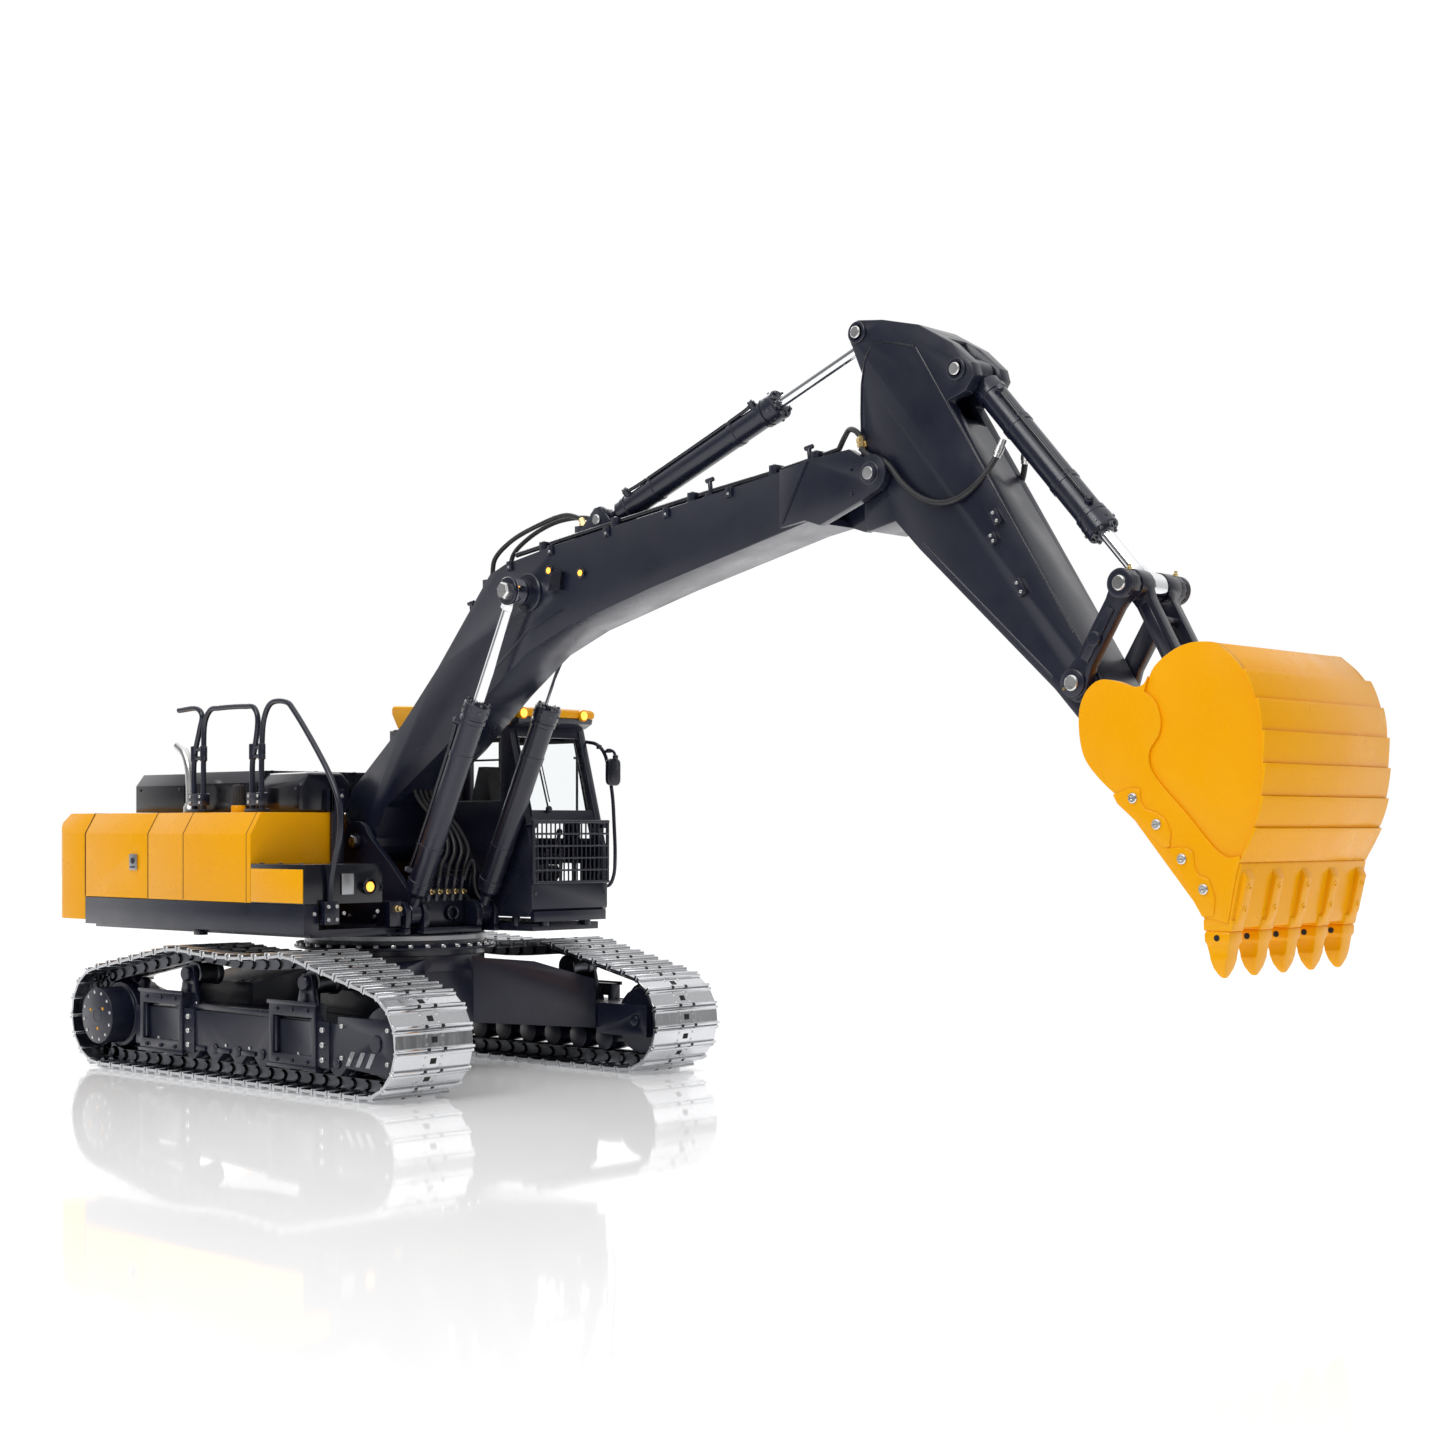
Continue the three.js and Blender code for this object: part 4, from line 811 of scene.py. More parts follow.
# ---------------------------------------------------------------- cab
def cab():
    rounded("cab_frame", "paint_black", 1.0)
    rounded("cab_door", "paint_black", 0.6)
    rounded("cab_roof", "paint_yellow", 2.2, 4)
    seat = rounded("seat", "vinyl", 2.6, 4)

    guard = Shape()
    y0, y1, z0, z1 = 42.0, 118.5, 137.0, 183.5
    for z in (z0 + 1, z1 - 1):
        guard.rod((104.6, y0, z), (104.6, y1, z), 1.3, 16)
    for y in (y0 + 1, y1 - 1):
        guard.rod((104.6, y, z0 + 1), (104.6, y, z1 - 1), 1.3, 16)
    for k in range(1, 17):
        y = y0 + 1 + (y1 - y0 - 2) * k / 17
        guard.rod((104.2, y, z0 + 0.6), (104.2, y, z1 - 0.6), 0.62, 10)
    for k in range(1, 5):
        z = z0 + 1 + (z1 - z0 - 2) * k / 5
        guard.rod((105.3, y0 + 0.8, z), (105.3, y1 - 0.8, z), 0.75, 10)
    for y in (y0 + 3, y1 - 3):
        for z in (z0 + 4, z1 - 4):
            guard.rod((102 if z < 150 else 96, y, z), (104.6, y, z), 1.8, 16)
    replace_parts(guard.made("guard_bars", "house", "paint_black"), "front_guard")

    # Grab tube, mirror, wiper and the frame of the windscreen.
    grab = [
        (97, 121.2, 134), (99, 125, 135), (101.5, 127, 142), (103, 127, 156), (102, 127, 180),
        (99.5, 127, 206), (92.5, 126, 234), (86, 124, 241), (77.5, 121.2, 243),
    ]
    stalk = [(92, 126, 234.5), (97, 126, 236.5), (102.5, 126, 235), (104, 126.5, 231), (104, 127, 222)]
    tube = Shape().tube(grab, 1.4, 16, 8)
    tube.tube(stalk, 1.1, 12, 6)
    for x, y, z in ((88, 124.8, 239), (97.6, 126, 236), (104, 126.4, 231)):
        tube.rod((x, y, z - 1.6), (x, y, z + 1.6), 2.1, 14, 0.4)
    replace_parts(tube.made("grab_tube", "house", "paint_black", smooth=60), "mirror")

    def four_arcs(*corners):
        """An outline with a quarter circle (centre, radius) at each corner, from the upper left one round."""
        return [p for k, (c, radius) in enumerate(corners) for p in arc(c, radius, 90 * k, 90 * k + 90, 4)]

    head = four_arcs(((128, 226), 4), ((122.5, 226), 4), ((123, 214), 4.5), ((127.5, 214), 4.5))
    face = four_arcs(((127.6, 225), 3), ((122.9, 225), 3), ((123.3, 215), 3.2), ((127.2, 215), 3.2))
    Shape().front(head, 100.6, 104.6).made("mirror_head", "house", "gloss_black", 1.3, 3)
    Shape().front(face, 100.2, 100.8).made("mirror_face", "house", "chrome")
    trim, silver, dots = Shape(), Shape(), Shape()
    lean = lambda z, off: CAB_FRONT - RAKE * (z - BROW_Z) / (CAB_TOP - BROW_Z) + off
    trim.rod((lean(193, 1.2), 67, 193), (lean(241, 1.4), 65, 241), 0.7, 10)
    trim.rod((lean(197, 2.0), 69, 197), (lean(238, 2.0), 67.6, 238), 0.5, 8)
    trim.turned((lean(191.5, 0), 67.6, 191.5), (1, 0, 0.2), disc(2.4, 2.2, 2.8, 1.8), 18)
    for y in (50.5, 113.5):
        trim.rod((lean(186, 0.3), y, 186), (lean(250, 0.3), y, 250), 0.8, 10)
    # Visor over the screen and gutters down the roof's sides.
    trim.side([(72, 252.4), (79, 252.4), (86, 255.8), (87, 259.4), (78, 257.6)], 45, 119)
    trim.rod((-46, 44.6, 228), (67, 44.6, 228), 0.8, 10)
    for y in (43.7, 120.4):
        trim.rod((-56, y, CAB_TOP), (74, y, CAB_TOP), 0.9, 10)
    # Skirt of the cab, its rubber feet and steps.
    trim.side([(-58, 109.5), (90, 109.5), (98, 113.2), (98, 118), (-58, 118)], 119.2, 121.4)
    trim.front([(46, 109.6), (118, 109.6), (118, 117), (46, 117)], 98, 102.4)
    for x, y in ((78, 50), (96, 62), (79, 116), (96, 104)):
        trim.rod((x, y, 105.4), (x, y, 113.4), 3, 18, 0.6)
    # Door: hinges, handle and the bar along its window.
    for z in (136, 226):
        silver.rod((-12.2, 121.4, z - 4), (-12.2, 121.4, z + 4), 1.5, 14)
    trim.rod((65, 123.6, 176), (65, 123.6, 232), 1.0, 12)
    for z in (177, 231):
        trim.rod((65, 120.6, z), (65, 123.8, z), 1.0, 12)
    for y in (47.5, 117.5):
        screw(dots, (CAB_FRONT, y, 130), (1, 0, 0), 1.2, 0.8)
    # Inside: seat rails, levers beside the seat, pedals with their levers, and the display on its post.
    trim.box(26, 64, 66, 70, 117.9, 122)
    trim.box(26, 64, 91, 95, 117.9, 122)
    for y in (58, 103.6):
        trim.rod((62, y, 158), (66, y, 172), 1.3, 12)
        trim.turned((66, y, 172), (0.3, 0, 1), [(0, 1.4), (1.4, 2.3), (4.2, 2.3), (5.4, 1.2)], 16)
    for y in (74, 88):
        trim.rod((84, y, 118), (86, y, 162), 1.2, 12)
        trim.box(78, 94, y - 4.5, y + 4.5, 119.2, 120.6)
    trim.box(68, 80, 106, 113, 160, 186)
    trim.rod((76, 110, 117), (76, 110, 160), 1.8, 12)
    trim.made("cab_trim", "house", "paint_black", 0.25)
    silver.made("cab_hinges", "house", "screw")
    dots.made("cab_screws", "house", "dark_steel")

    lens, rims = Shape(), Shape()
    for y in LAMP_Y:
        lens.turned((88.4, y, 262), (1, 0, 0), [(0, 3.3), (1.2, 3.1), (1.8, 1.8), (1.9, 0)], 24)
        rims.turned(
            (84, y, 262), (1, 0, 0), [(0, 3.2), (1, 4.3), (5.2, 4.3), (5.5, 3.8), (5.5, 3.4), (4, 3.3)], 28
        )
    lens.made("visor_lamps", "house", "lamp")
    rims.made("visor_rims", "house", "paint_yellow")


cab()


# ---------------------------------------------------------------- cylinders
def cylinder(name, a, b, y, form, barrel_body, rod_body, ports):
    """A barrel with its eye, gland, bands and hard pipe, and the rod that runs in it."""
    eye, start, radius, gland, gland_radius, rod_radius, rod_from, rod_eye, half = form
    direction = (b[0] - a[0], 0, b[1] - a[1])
    axis = Vector(direction).normalized()
    reach = math.dist(a, b)
    base = on(a, y)
    barrel = Shape()
    barrel.rod(on(a, y - half), on(a, y + half), eye, 40, 0.6)
    foot = [(2, 4.4), (start - 4, 5), (start - 1, radius - 1.4), (start, radius)]
    collar = [
        (start + 5, radius), (start + 5.4, radius + 0.7), (start + 8.6, radius + 0.7), (start + 9, radius),
    ]
    grooves = [
        (gland - 15, radius), (gland - 14.4, gland_radius - 0.3), (gland - 11.6, gland_radius - 0.3),
        (gland - 11.2, radius + 0.3), (gland - 9.6, radius + 0.3), (gland - 9.2, gland_radius),
    ]
    mouth = [
        (gland - 1, gland_radius), (gland - 0.4, gland_radius - 0.7), (gland - 0.4, 6), (gland + 1.2, 5.4),
        (gland + 1.4, rod_radius + 0.3),
    ]
    barrel.turned(base, direction, [*foot, *collar, *grooves, *mouth], 48)
    up = Vector((-axis.z, 0, axis.x)) * ports
    out = Vector((0, -1 if y <= 0 else 1, 0))
    lean = (up * 0.75 + out * 0.66).normalized()
    point = lambda t, off: tuple(Vector(base) + axis * t + lean * off)
    for t in (start + 34, gland - 40):
        band = [(t - 2, radius), (t - 2, radius + 0.5), (t + 2, radius + 0.5), (t + 2, radius)]
        barrel.turned(base, direction, band, 48)
        barrel.rod(point(t, radius - 1), point(t, radius + 2.2), 1.7, 12)
    inlets = (start + 13, gland - 17.5)
    for t in inlets:
        barrel.rod(point(t, radius - 1), point(t, radius + 3.6), 2.6, 16, 0.3)
    piece = barrel.made(f"{name}_tube", barrel_body, "paint_black", smooth=30)
    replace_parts(piece, barrel_body)
    line = [
        (start + 13, 1.6), (start + 16, 1.7), (start + 24, 1.3), (gland - 26, 1.3), (gland - 20, 1.7),
        (gland - 17.5, 1.6),
    ]
    pipe = Shape().tube([point(t, radius + off) for t, off in line], 1.25, 12, 6)
    pipe.made(f"{name}_pipe", barrel_body, "gloss_black", smooth=60)
    heads = Shape()
    side = axis.cross(Vector((0, 1, 0)))
    for k in range(8):
        turn = math.radians(45 * k + 22)
        off = Vector((0, 1, 0)) * math.cos(turn) + side * math.sin(turn)
        end = Vector(base) + axis * (gland - 0.4) + off * (gland_radius - 1.9)
        rim = Vector(base) + axis * (gland - 5) + off * (gland_radius - 0.3)
        screw(heads, tuple(end), direction, 1.15, 1.4)
        screw(heads, tuple(rim), off, 1.0, 0.9)
    for t in inlets:
        bolt(heads, point(t, radius + 3.4), tuple(lean), 1.9, 1.6)
    heads.made(f"{name}_screws", barrel_body, "dark_steel")

    rod = Shape()
    tip = reach - rod_eye
    rod.turned(base, direction, [(rod_from, rod_radius), (tip + 0.5, rod_radius)], 48)
    rod.turned(base, direction, [(tip - 5, rod_radius), (tip - 4.4, 5.6), (tip - 1, 5.6), (tip + 2, 4.6)], 6)
    ring = [
        (half, rod_eye - 0.5), (half, 4.95), (-half, 4.95), (-half, rod_eye - 0.5), (0.5 - half, rod_eye),
        (half - 0.5, rod_eye),
    ]
    eye_rings = [[at(b[0] + r * u, y + w, b[1] + r * v) for w, r in ring] for u, v in around(48)]
    rod.rings(eye_rings, closed=True)
    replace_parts(rod.made(f"{name}_piston_rod", rod_body, "chrome", smooth=30), rod_body)


# The base's eye, the tube's start and radius, the gland's end and radius, the rod's radius and start, its
# eye, and half the width of both eyes.
LIFT_FORM = (8, 18, 8.35, 165, 9.5, 3.9, 78, 9, 4.5)
CROWD_FORM = (8, 14, 8, 165, 9.5, 4, 60, 8, 6.5)
CURL_FORM = (8, 11, 8.4, 133, 9.5, 3.9, 47, 8, 6.5)
for side_name, s in (("left", 1), ("right", -1)):
    cylinder(
        f"lift_{side_name}", LIFT_BASE, LIFT_PIN, s * LIFT_Y, LIFT_FORM, f"boom_barrel_{side_name}",
        f"boom_rod_{side_name}", 1,
    )
cylinder("crowd", CROWD_BASE, CROWD_PIN, 0, CROWD_FORM, "arm_barrel", "arm_rod", 1)
cylinder("curl", CURL_BASE, CURL_PIN, 0, CURL_FORM, "bucket_barrel", "bucket_rod", 1)


# ---------------------------------------------------------------- deck front: valves, elbows and hoses
def deck_front():
    rounded("valve_block", "cast_metal", 0.4)
    rounded("pump", "cast_metal", 0.6)
    rounded("battery", "vinyl", 1.6, 3)
    trim, brass, silver = Shape(), Shape(), Shape()
    # A bank of valves across the front of the deck, its elbows fanned under the boom.
    trim.box(43, 52, -17, 22, 107.9, 127)
    trim.box(44, 51, -15, 22, 126, 133)
    trim.rod((47, -21.5, 146), (47, 36, 146), 1.2, 14)
    for y in (-20, 34):
        trim.rod((41, y, 124), (47, y, 146), 1.2, 12)
    trim.tube([(54, y, z) for y, z in arc((10, 116), 4.6, -80, 260, 17)], 1.4, 12, 3)
    elbow = [(-8, 3), (0, 3), (0.6, 2.3), (7, 2.1), (7.6, 2.7), (10, 2.7)]
    union = [(-1, 1.7), (3, 1.7), (3.2, 2.2), (4.8, 2.2), (5.2, 1.5), (7, 1.4)]
    for k, y in enumerate((-11, -3.5, 4, 11.5, 19)):
        trim.turned((52, y, 133), (0.1, 0.1, 1), elbow, 8)
        brass.turned((51, y, 131), (1, 0, 0.15), union, 6)
        silver.turned((20, y * 0.9, 119.5), (0, 0, 1), disc(2.1, 1.5, 2, 1.6), 6)
        hose(
            f"boom_foot_hose_{k + 1}",
            [
                (53, y + 1, 141), (54, y + 2.4, 150), (54, y * 0.9 + 8, 161), (49, y * 0.7 + 10, 173),
                (41, y * 0.6 + 6, 187), (34, y * 0.6, 200), (32, y * 0.7 - 2, 211),
            ],
            1.6, "house", ("boom", (46, 0, 165), (33, 0, 203)),
        )
    # Black mounting column beside the boom foot and a bracket by the step box.
    trim.box(0.8, 4, -60.5, -50, 153.2, 206)
    trim.box(-14, 4, -60.5, -58.6, 189.4, 206)
    for y, z in ((-57.5, 201), (-52.5, 201), (-55, 178), (-55, 171)):
        screw(silver, (4, y, z), (1, 0, 0), 1.4, 1.1)
    trim.box(56, 64, -56, -46, 108.5, 126)
    brass.turned((64, -51, 121), (1, 0, 0), [(-0.5, 2.6), (2.6, 2.6), (3, 2), (5.6, 2), (6, 1.4)], 6)
    for s in (1, -1):
        bolt(silver, on(LIFT_BASE, s * 43.3), (0, s, 0), 4.2, 2.4)
        bolt(silver, on(FOOT, s * 29), (0, s, 0), 4.6, 2.6)
        trim.turned(on(LIFT_BASE, s * 27.4), (0, -s, 0), [(-0.5, 5.4), (0.2, 5.4), (0.3, 4)], 24)
        for x, z in ((-40, 113), (-20, 113), (10, 113), (30, 113)):
            screw(silver, (x, s * 27, z), (0, s, 0), 1.5, 1.1)
    # Hoses from the valves to the feet of the two boom cylinders.
    routes = {
        "right": [
            (54, -13, 140), (57, -13.5, 150), (60, -16, 154), (62, -20, 150), (61, -23.5, 140),
            (61.5, -26, 131), (62.5, -29.5, 126),
        ],
        "left": [
            (54, 20.5, 140), (58, 21, 150), (62, 22, 154), (63, 23, 148), (61.5, 24, 140), (61.5, 26, 131),
            (62.5, 29.5, 126),
        ],
    }
    for name, route in routes.items():
        hose(f"deck_hose_{name}", route, 1.4, "house")
    trim.made("deck_brackets", "house", "paint_black", 0.25)
    brass.made("brass_elbows", "house", "brass")
    silver.made("deck_screws", "house", "screw")


deck_front()


# ---------------------------------------------------------------- boom
BOOM_TOP = [(129, 354), (145, 360), (196, 369), (331, 387), (423, 400)]


def boom_top(x):
    for (x0, z0), (x1, z1) in zip(BOOM_TOP, BOOM_TOP[1:]):
        if x <= x1:
            return z0 + (z1 - z0) * (x - x0) / (x1 - x0)
    return BOOM_TOP[-1][1]


def boom():
    rounded("boom", "paint_black", 0.8, 2, 20)
    pipes = Shape()
    run = [(150, 366.5), (200, 373.5), (331, 391), (400, 399.5), (440, 406)]
    for y in (13.5, -13.5):
        pipes.tube([(x, y, z) for x, z in run], 1.8, 14, 8)
    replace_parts(pipes.made("boom_top_pipes", "boom", "gloss_black", smooth=60), "boom_pipes")
    trim, silver, brass = Shape(), Shape(), Shape()
    for x in (180, 250, 320, 390, 424):
        z = boom_top(x)
        trim.box(x - 3, x + 3, -17.5, -9.5, z - 0.5, z + 6.6)
        trim.box(x - 3, x + 3, 9.5, 17.5, z - 0.5, z + 6.6)
        for y in (-15.9, 15.9):
            screw(silver, (x, y, z + 6.4), (0, 0, 1), 1.1, 0.9)
    # Posts with a cross bar, that hold the hoses clear of the boom.
    for x, z in ((105, 326), (336, 388.2), (419, 399.3)):
        trim.rod((x, -15, z - 1), (x - 1.5, -15, z + 10.5), 1.5, 14)
        trim.rod((x - 4.6, -15, z + 10), (x + 1.8, -15, z + 11), 1.5, 12, 0.3)
        trim.box(x - 3, x + 3, -18, -12, z - 0.8, z + 1.2)
    # Clips along the top edge of each side plate.
    for x in (150, 191.5, 246, 301, 356, 401.7):
        z = boom_top(x) - 3.2
        clip = [(x - 2.6, z - 2.4), (x + 2.6, z - 1.8), (x + 2.6, z + 4.4), (x - 2.6, z + 3.8)]
        for s in (1, -1):
            trim.flank(clip, s, 19.4, 21.2)
            screw(silver, (x, s * 21.1, z), (0, s, 0), 0.9, 0.6)
    for s in (1, -1):
        out = (0, s, 0)
        trim.turned(on(LIFT_PIN, s * 37.6), out, disc(9.6, 1.8, 2.4, 9), 36)
        bolt(silver, on(LIFT_PIN, s * 40), out, 6.2, 4.4)
        trim.turned(on(LIFT_PIN, s * 20), out, disc(13.5, 1.4, 2, 12.6), 44)
        trim.turned(on(ELBOW, s * 24.4), out, disc(7, 0.7, 1, 6.4), 36)
        silver.turned(on(ELBOW, s * 24.6), out, disc(4.3, 2, 2.6, 3.6), 32)
        for dx, dz in ((-15, 4), (-14, -11)):
            screw(trim, (ELBOW[0] + dx, s * 24.5, ELBOW[1] + dz), out, 1.2, 0.9)
        trim.flank([(402, 363), (404.5, 363.4), (425, 399.6), (422.5, 399.8)], s, 24.3, 25.1)
        silver.turned(on(CROWD_BASE, s * 10.4), out, disc(3.4, 2.4, 3, 2.8), 28)
        trim.turned(on(CROWD_BASE, s * 10.2), out, disc(5, 0.6, 0.8, 4.6), 32)
        trim.flank([(204, 372), (262, 376), (240, 383), (231, 392), (226, 391)], s, 10.4, 12)
        trim.turned(on(FOOT, s * 20), out, disc(11, 2, 2.3, 10), 36)
        # Welded plate over the knee of the boom, and its seam.
        knee = [(128, 283), (170, 312), (204, 324), (203, 325.6), (169, 313.8), (127, 284.6)]
        trim.flank(knee, s, 19.9, 20.5)
    for y in (-8.5, 8.5):
        brass.turned((212, y, 381), (-0.5, 0, 1), [(0, 2.6), (3, 2.6), (3.2, 2), (6.4, 2)], 6)
        trim.box(206, 218, y - 3, y + 3, 370.5, 381.5)
        trim.box(112, 126, y - 3.4, y + 3.4, 337, 352.5)
        brass.turned((120.5, y, 350), (-0.35, 0, 1), [(0, 2.6), (4, 2.6), (4.2, 2), (6, 2)], 6)
    trim.made("boom_fittings", "boom", "paint_black", 0.25)
    silver.made("boom_pin_heads", "boom", "screw")
    brass.made("boom_unions", "boom", "brass")

    lens, rims = Shape(), Shape()
    for x, z in ((191, 352), (222, 348)):
        lens.turned((x, -20.8, z), (0, -1, 0), [(0, 2.1), (1.2, 2.0), (1.8, 1.0), (1.9, 0)], 22)
        rims.turned((x, -19.8, z), (0, -1, 0), [(0, 3.6), (1.8, 3.6), (2.1, 3.1), (2.1, 2.2), (1, 2.2)], 26)
    rims.side([(193, 338), (204, 338), (206, 350), (199, 352), (195, 347)], -24, -19.8)
    lens.made("boom_lamps", "boom", "lamp")
    rims.made("boom_lamp_rims", "boom", "gloss_black")

    for k, (y, lift) in enumerate(((-8.5, 0), (8.5, 4))):
        hose(
            f"boom_arc_hose_{k + 1}",
            [
                (118.6, y, 355), (121, y, 366 + lift), (137, y, 377 + lift), (166, y, 386 + lift),
                (194, y, 390.5), (209.2, y, 386.6),
            ],
            1.7, "boom",
        )
        s = 1 if k else -1
        hose(
            f"elbow_hose_{k + 1}",
            [
                (440, 13.5 * s, 406), (446, 15 * s, 413), (452, 18 * s, 416), (459, 20.6 * s, 414),
                (463.4, 21.4 * s, 410),
            ],
            1.7, "boom", ("arm", (444, 0, 409), (461, 0, 413)),
        )


boom()


# ---------------------------------------------------------------- arm
def arm():
    rounded("arm", "paint_black", 0.8, 2, 20)
    trim, silver, brass, lines = Shape(), Shape(), Shape(), Shape()
    seams = [
        [(502, 458.1), (550.5, 382.2), (567.3, 356), (612, 285)],
        [(465.8, 372), (461.6, 407), (463.5, 455), (471.5, 464.4), (501, 458.9)],
    ]
    for s in (1, -1):
        out = (0, s, 0)
        for route in seams:
            lines.tube([(x, s * 18.0, z) for x, z in route], 0.55, 6, 3)
        for c in (CROWD_PIN, CURL_BASE):
            trim.turned(on(c, s * 18), out, disc(6.6, 1.6, 2, 6), 36)
            silver.turned(on(c, s * 19), out, disc(3.7, 2, 2.5, 3.1), 30)
        trim.turned(on(ROCKER_PIN, s * 17.9), out, disc(10.5, 1.4, 1.7, 9.8), 36)
        trim.turned(on(WRIST, s * 17.9), out, disc(10.4, 1, 1.3, 9.8), 36)
        # Blocks that hold the pipes on the side plate, each with two screws.
        for x, z, w in ((561, 353.5, 9), (559, 341.5, 6), (577.5, 312.5, 10)):
            d = toward((0, 0), (0.5, -0.87), 1)
            corner = lambda u, v: (x + d[0] * u - d[1] * v, z + d[1] * u + d[0] * v)
            block = [(-w / 2, -2.6), (w / 2, -2.6), (w / 2, 2.6), (-w / 2, 2.6)]
            trim.flank([corner(u, v) for u, v in block], s, 17.8, 21.4)
            for u in (-w / 3.4, w / 3.4):
                cx, cz = corner(u, 0)
                screw(silver, (cx, s * 21.4, cz), out, 1.0, 0.8)
        # Plate edge along the rear of the arm.
        trim.tube([(507, s * 17.2, 343.4), (598, s * 17.2, 261.2)], 1.3, 10, 6)
        brass.turned((463.4, s * 17.8, 405.5), out, [(0, 3.2), (2, 3.2), (2.2, 2.4), (4.2, 2.4)], 6)
        union = [(0, 2.1), (2.4, 2.1), (2.6, 2.6), (5, 2.6), (5.2, 1.9), (6.4, 1.9)]
        brass.turned((463.4, s * 21.4, 404), (0, 0, 1), union, 6)
    trim.made("arm_fittings", "arm", "paint_black", 0.25)
    silver.made("arm_pin_heads", "arm", "screw")
    brass.made("arm_unions", "arm", "brass")
    lines.made("arm_seams", "arm", "gloss_black", smooth=60)
    for s, name in ((1, "left"), (-1, "right")):
        hose(
            f"arm_hose_{name}",
            [
                (463.6, s * 21.4, 403), (470, s * 21.6, 398), (482, s * 21.2, 393), (495, s * 21, 379),
                (508, s * 21, 369.5), (523, s * 21, 365), (538, s * 21, 367.5), (551, s * 18, 378),
                (558, s * 13, 391),
            ],
            1.8, "arm",
        )
        crimp = [(0, 2.3), (2, 2.3), (2.2, 2.7), (7, 2.7), (7.2, 2.2), (11, 2.2)]
        steel = Shape().turned((556.5, s * 14, 388), (0.3, -0.25 * s, 1), crimp, 18)
        steel.made(f"arm_ferrule_{name}", "arm", "screw")


arm()


# ---------------------------------------------------------------- linkage
def web(a, b, start, end, half=2.6):
    """A strip from start to end along the way from a to b."""
    return [toward(a, b, t, off) for t, off in ((start, half), (end, half), (end, -half), (start, -half))]


def linkage():
    rounded("rocker", "paint_black", 0.9, 3)
    rounded("link", "paint_black", 0.8, 3)
    trim, silver, brass = Shape(), Shape(), Shape()
    ribs = [(0, 7.6)]
    for k in range(3):
        ribs += [(0.3 + 1.2 * k, 8.1), (1.0 + 1.2 * k, 8.1), (1.1 + 1.2 * k, 7.4), (1.4 + 1.2 * k, 7.4)]
    for s in (1, -1):
        out = (0, s, 0)
        trim.turned(on(CURL_PIN, s * 26), out, [*ribs, (3.9, 7.4), (3.9, 5.4)], 40)
        silver.turned(on(CURL_PIN, s * 29.4), out, disc(4.2, 1.2, 1.8, 3.5), 32)
        trim.turned(on(ROCKER_PIN, s * 26), out, disc(7.6, 1.4, 1.7, 7), 36)
        silver.turned(on(ROCKER_PIN, s * 27.4), out, disc(4.4, 1.4, 2, 3.7), 32)
        # A socket screw across the rocker's waist, and a raised web between its eyes.
        x, z = toward(ROCKER_PIN, CURL_PIN, 27, 0)
        trim.rod((x, s * 25, z), (x, s * 28.6, z), 4.2, 18, 0.5)
        trim.flank(web(ROCKER_PIN, CURL_PIN, 14, 46), s, 25.8, 27)
        upper, lower = (CURL_PIN[0] + 2, CURL_PIN[1] + 7.6), (ROCKER_PIN[0] - 5, ROCKER_PIN[1] - 3)
        brass.turned(on(upper, s * 23), (0.2, 0, 1), [(0, 1.4), (1.4, 1.4), (1.6, 0.9), (3, 0.9)], 10)
        brass.turned(on(lower, s * 26), out, [(0, 1.3), (1.2, 1.3), (1.4, 0.8), (2.4, 0.8)], 10)
    trim.made("rocker_ribs", "rocker", "paint_black", 0.15)
    silver.made("rocker_pin_heads", "rocker", "screw")
    brass.made("rocker_nipples", "rocker", "brass")
    bars = Shape()
    for t in (22, 40):
        x, z = toward(CURL_PIN, LINK_PIN, t)
        bars.rod((x, -9, z), (x, 9, z), 3, 20)
    for s in (1, -1):
        bars.flank(web(CURL_PIN, LINK_PIN, 12, 44), s, 13.8, 15)
    bars.made("link_bars", "link", "paint_black", 0.4)


linkage()


# ---------------------------------------------------------------- bucket
TEETH_Y = (-59, -29.5, 0, 29.5, 59)
# The outside of the bucket in side view: up its back, down the inside of the wrapper, and down the edge
# of its side plates.
BACK = [
    (735, 131), (741, 160), (745.5, 170), (751, 184), (753.6, 199), (754, 216), (752.4, 234), (746.5, 250),
    (738.5, 261.5), (728, 270.5),
]
FRONT = [
    (728, 271), (712, 268.5), (697, 258.5), (690, 246), (680, 238), (672, 225.5), (665.2, 212), (664.4, 203),
    (668, 194), (722, 134),
]
CHEEK = [
    (728, 271), (714, 271.5), (703.5, 268.5), (692, 260.5), (686.4, 251.5), (681, 250.4), (671, 253.6),
    (660, 254.8), (652, 249.4), (647.8, 240), (648, 225), (651.3, 214), (660, 203.7), (671, 194.5),
    (722, 134),
]
# Where the thicker plate round the ear ends, and the two cutters bolted to each side.
HEART_EDGE = [
    (741.5, 164.4), (735.5, 163.6), (729.7, 166.4), (712, 185), (694.3, 203.2), (690.3, 210), (690.1, 217.5),
    (695.6, 226), (696.7, 233), (693, 243), (686.8, 248),
]
CUTTERS = [
    [
        (668.6, 195.4), (671.4, 190.6), (698.3, 168.7), (702.5, 168.2), (703.4, 176), (700, 183),
        (694, 186.4), (688, 188), (685.4, 192.4), (685.2, 198), (680, 199),
    ],
    [
        (701, 168), (715.4, 142.6), (721.2, 133.6), (727.8, 134.6), (728.4, 144), (725, 153),
        (719.4, 154.6), (717, 158.4), (716, 166.4), (711.5, 168.6),
    ],
]
LIP = [(720.6, 139.6), (721.2, 130), (735.6, 128.4), (742.2, 160.6), (739.6, 162), (733.2, 138)]
ADAPTER = [(722, 141), (721.2, 127), (735.6, 127), (739.4, 134), (743.8, 153), (741.4, 158), (731.4, 140)]
SOCKET = [(720.6, 126.8), (736.2, 126.8), (737.4, 132.4), (720.4, 132.4)]


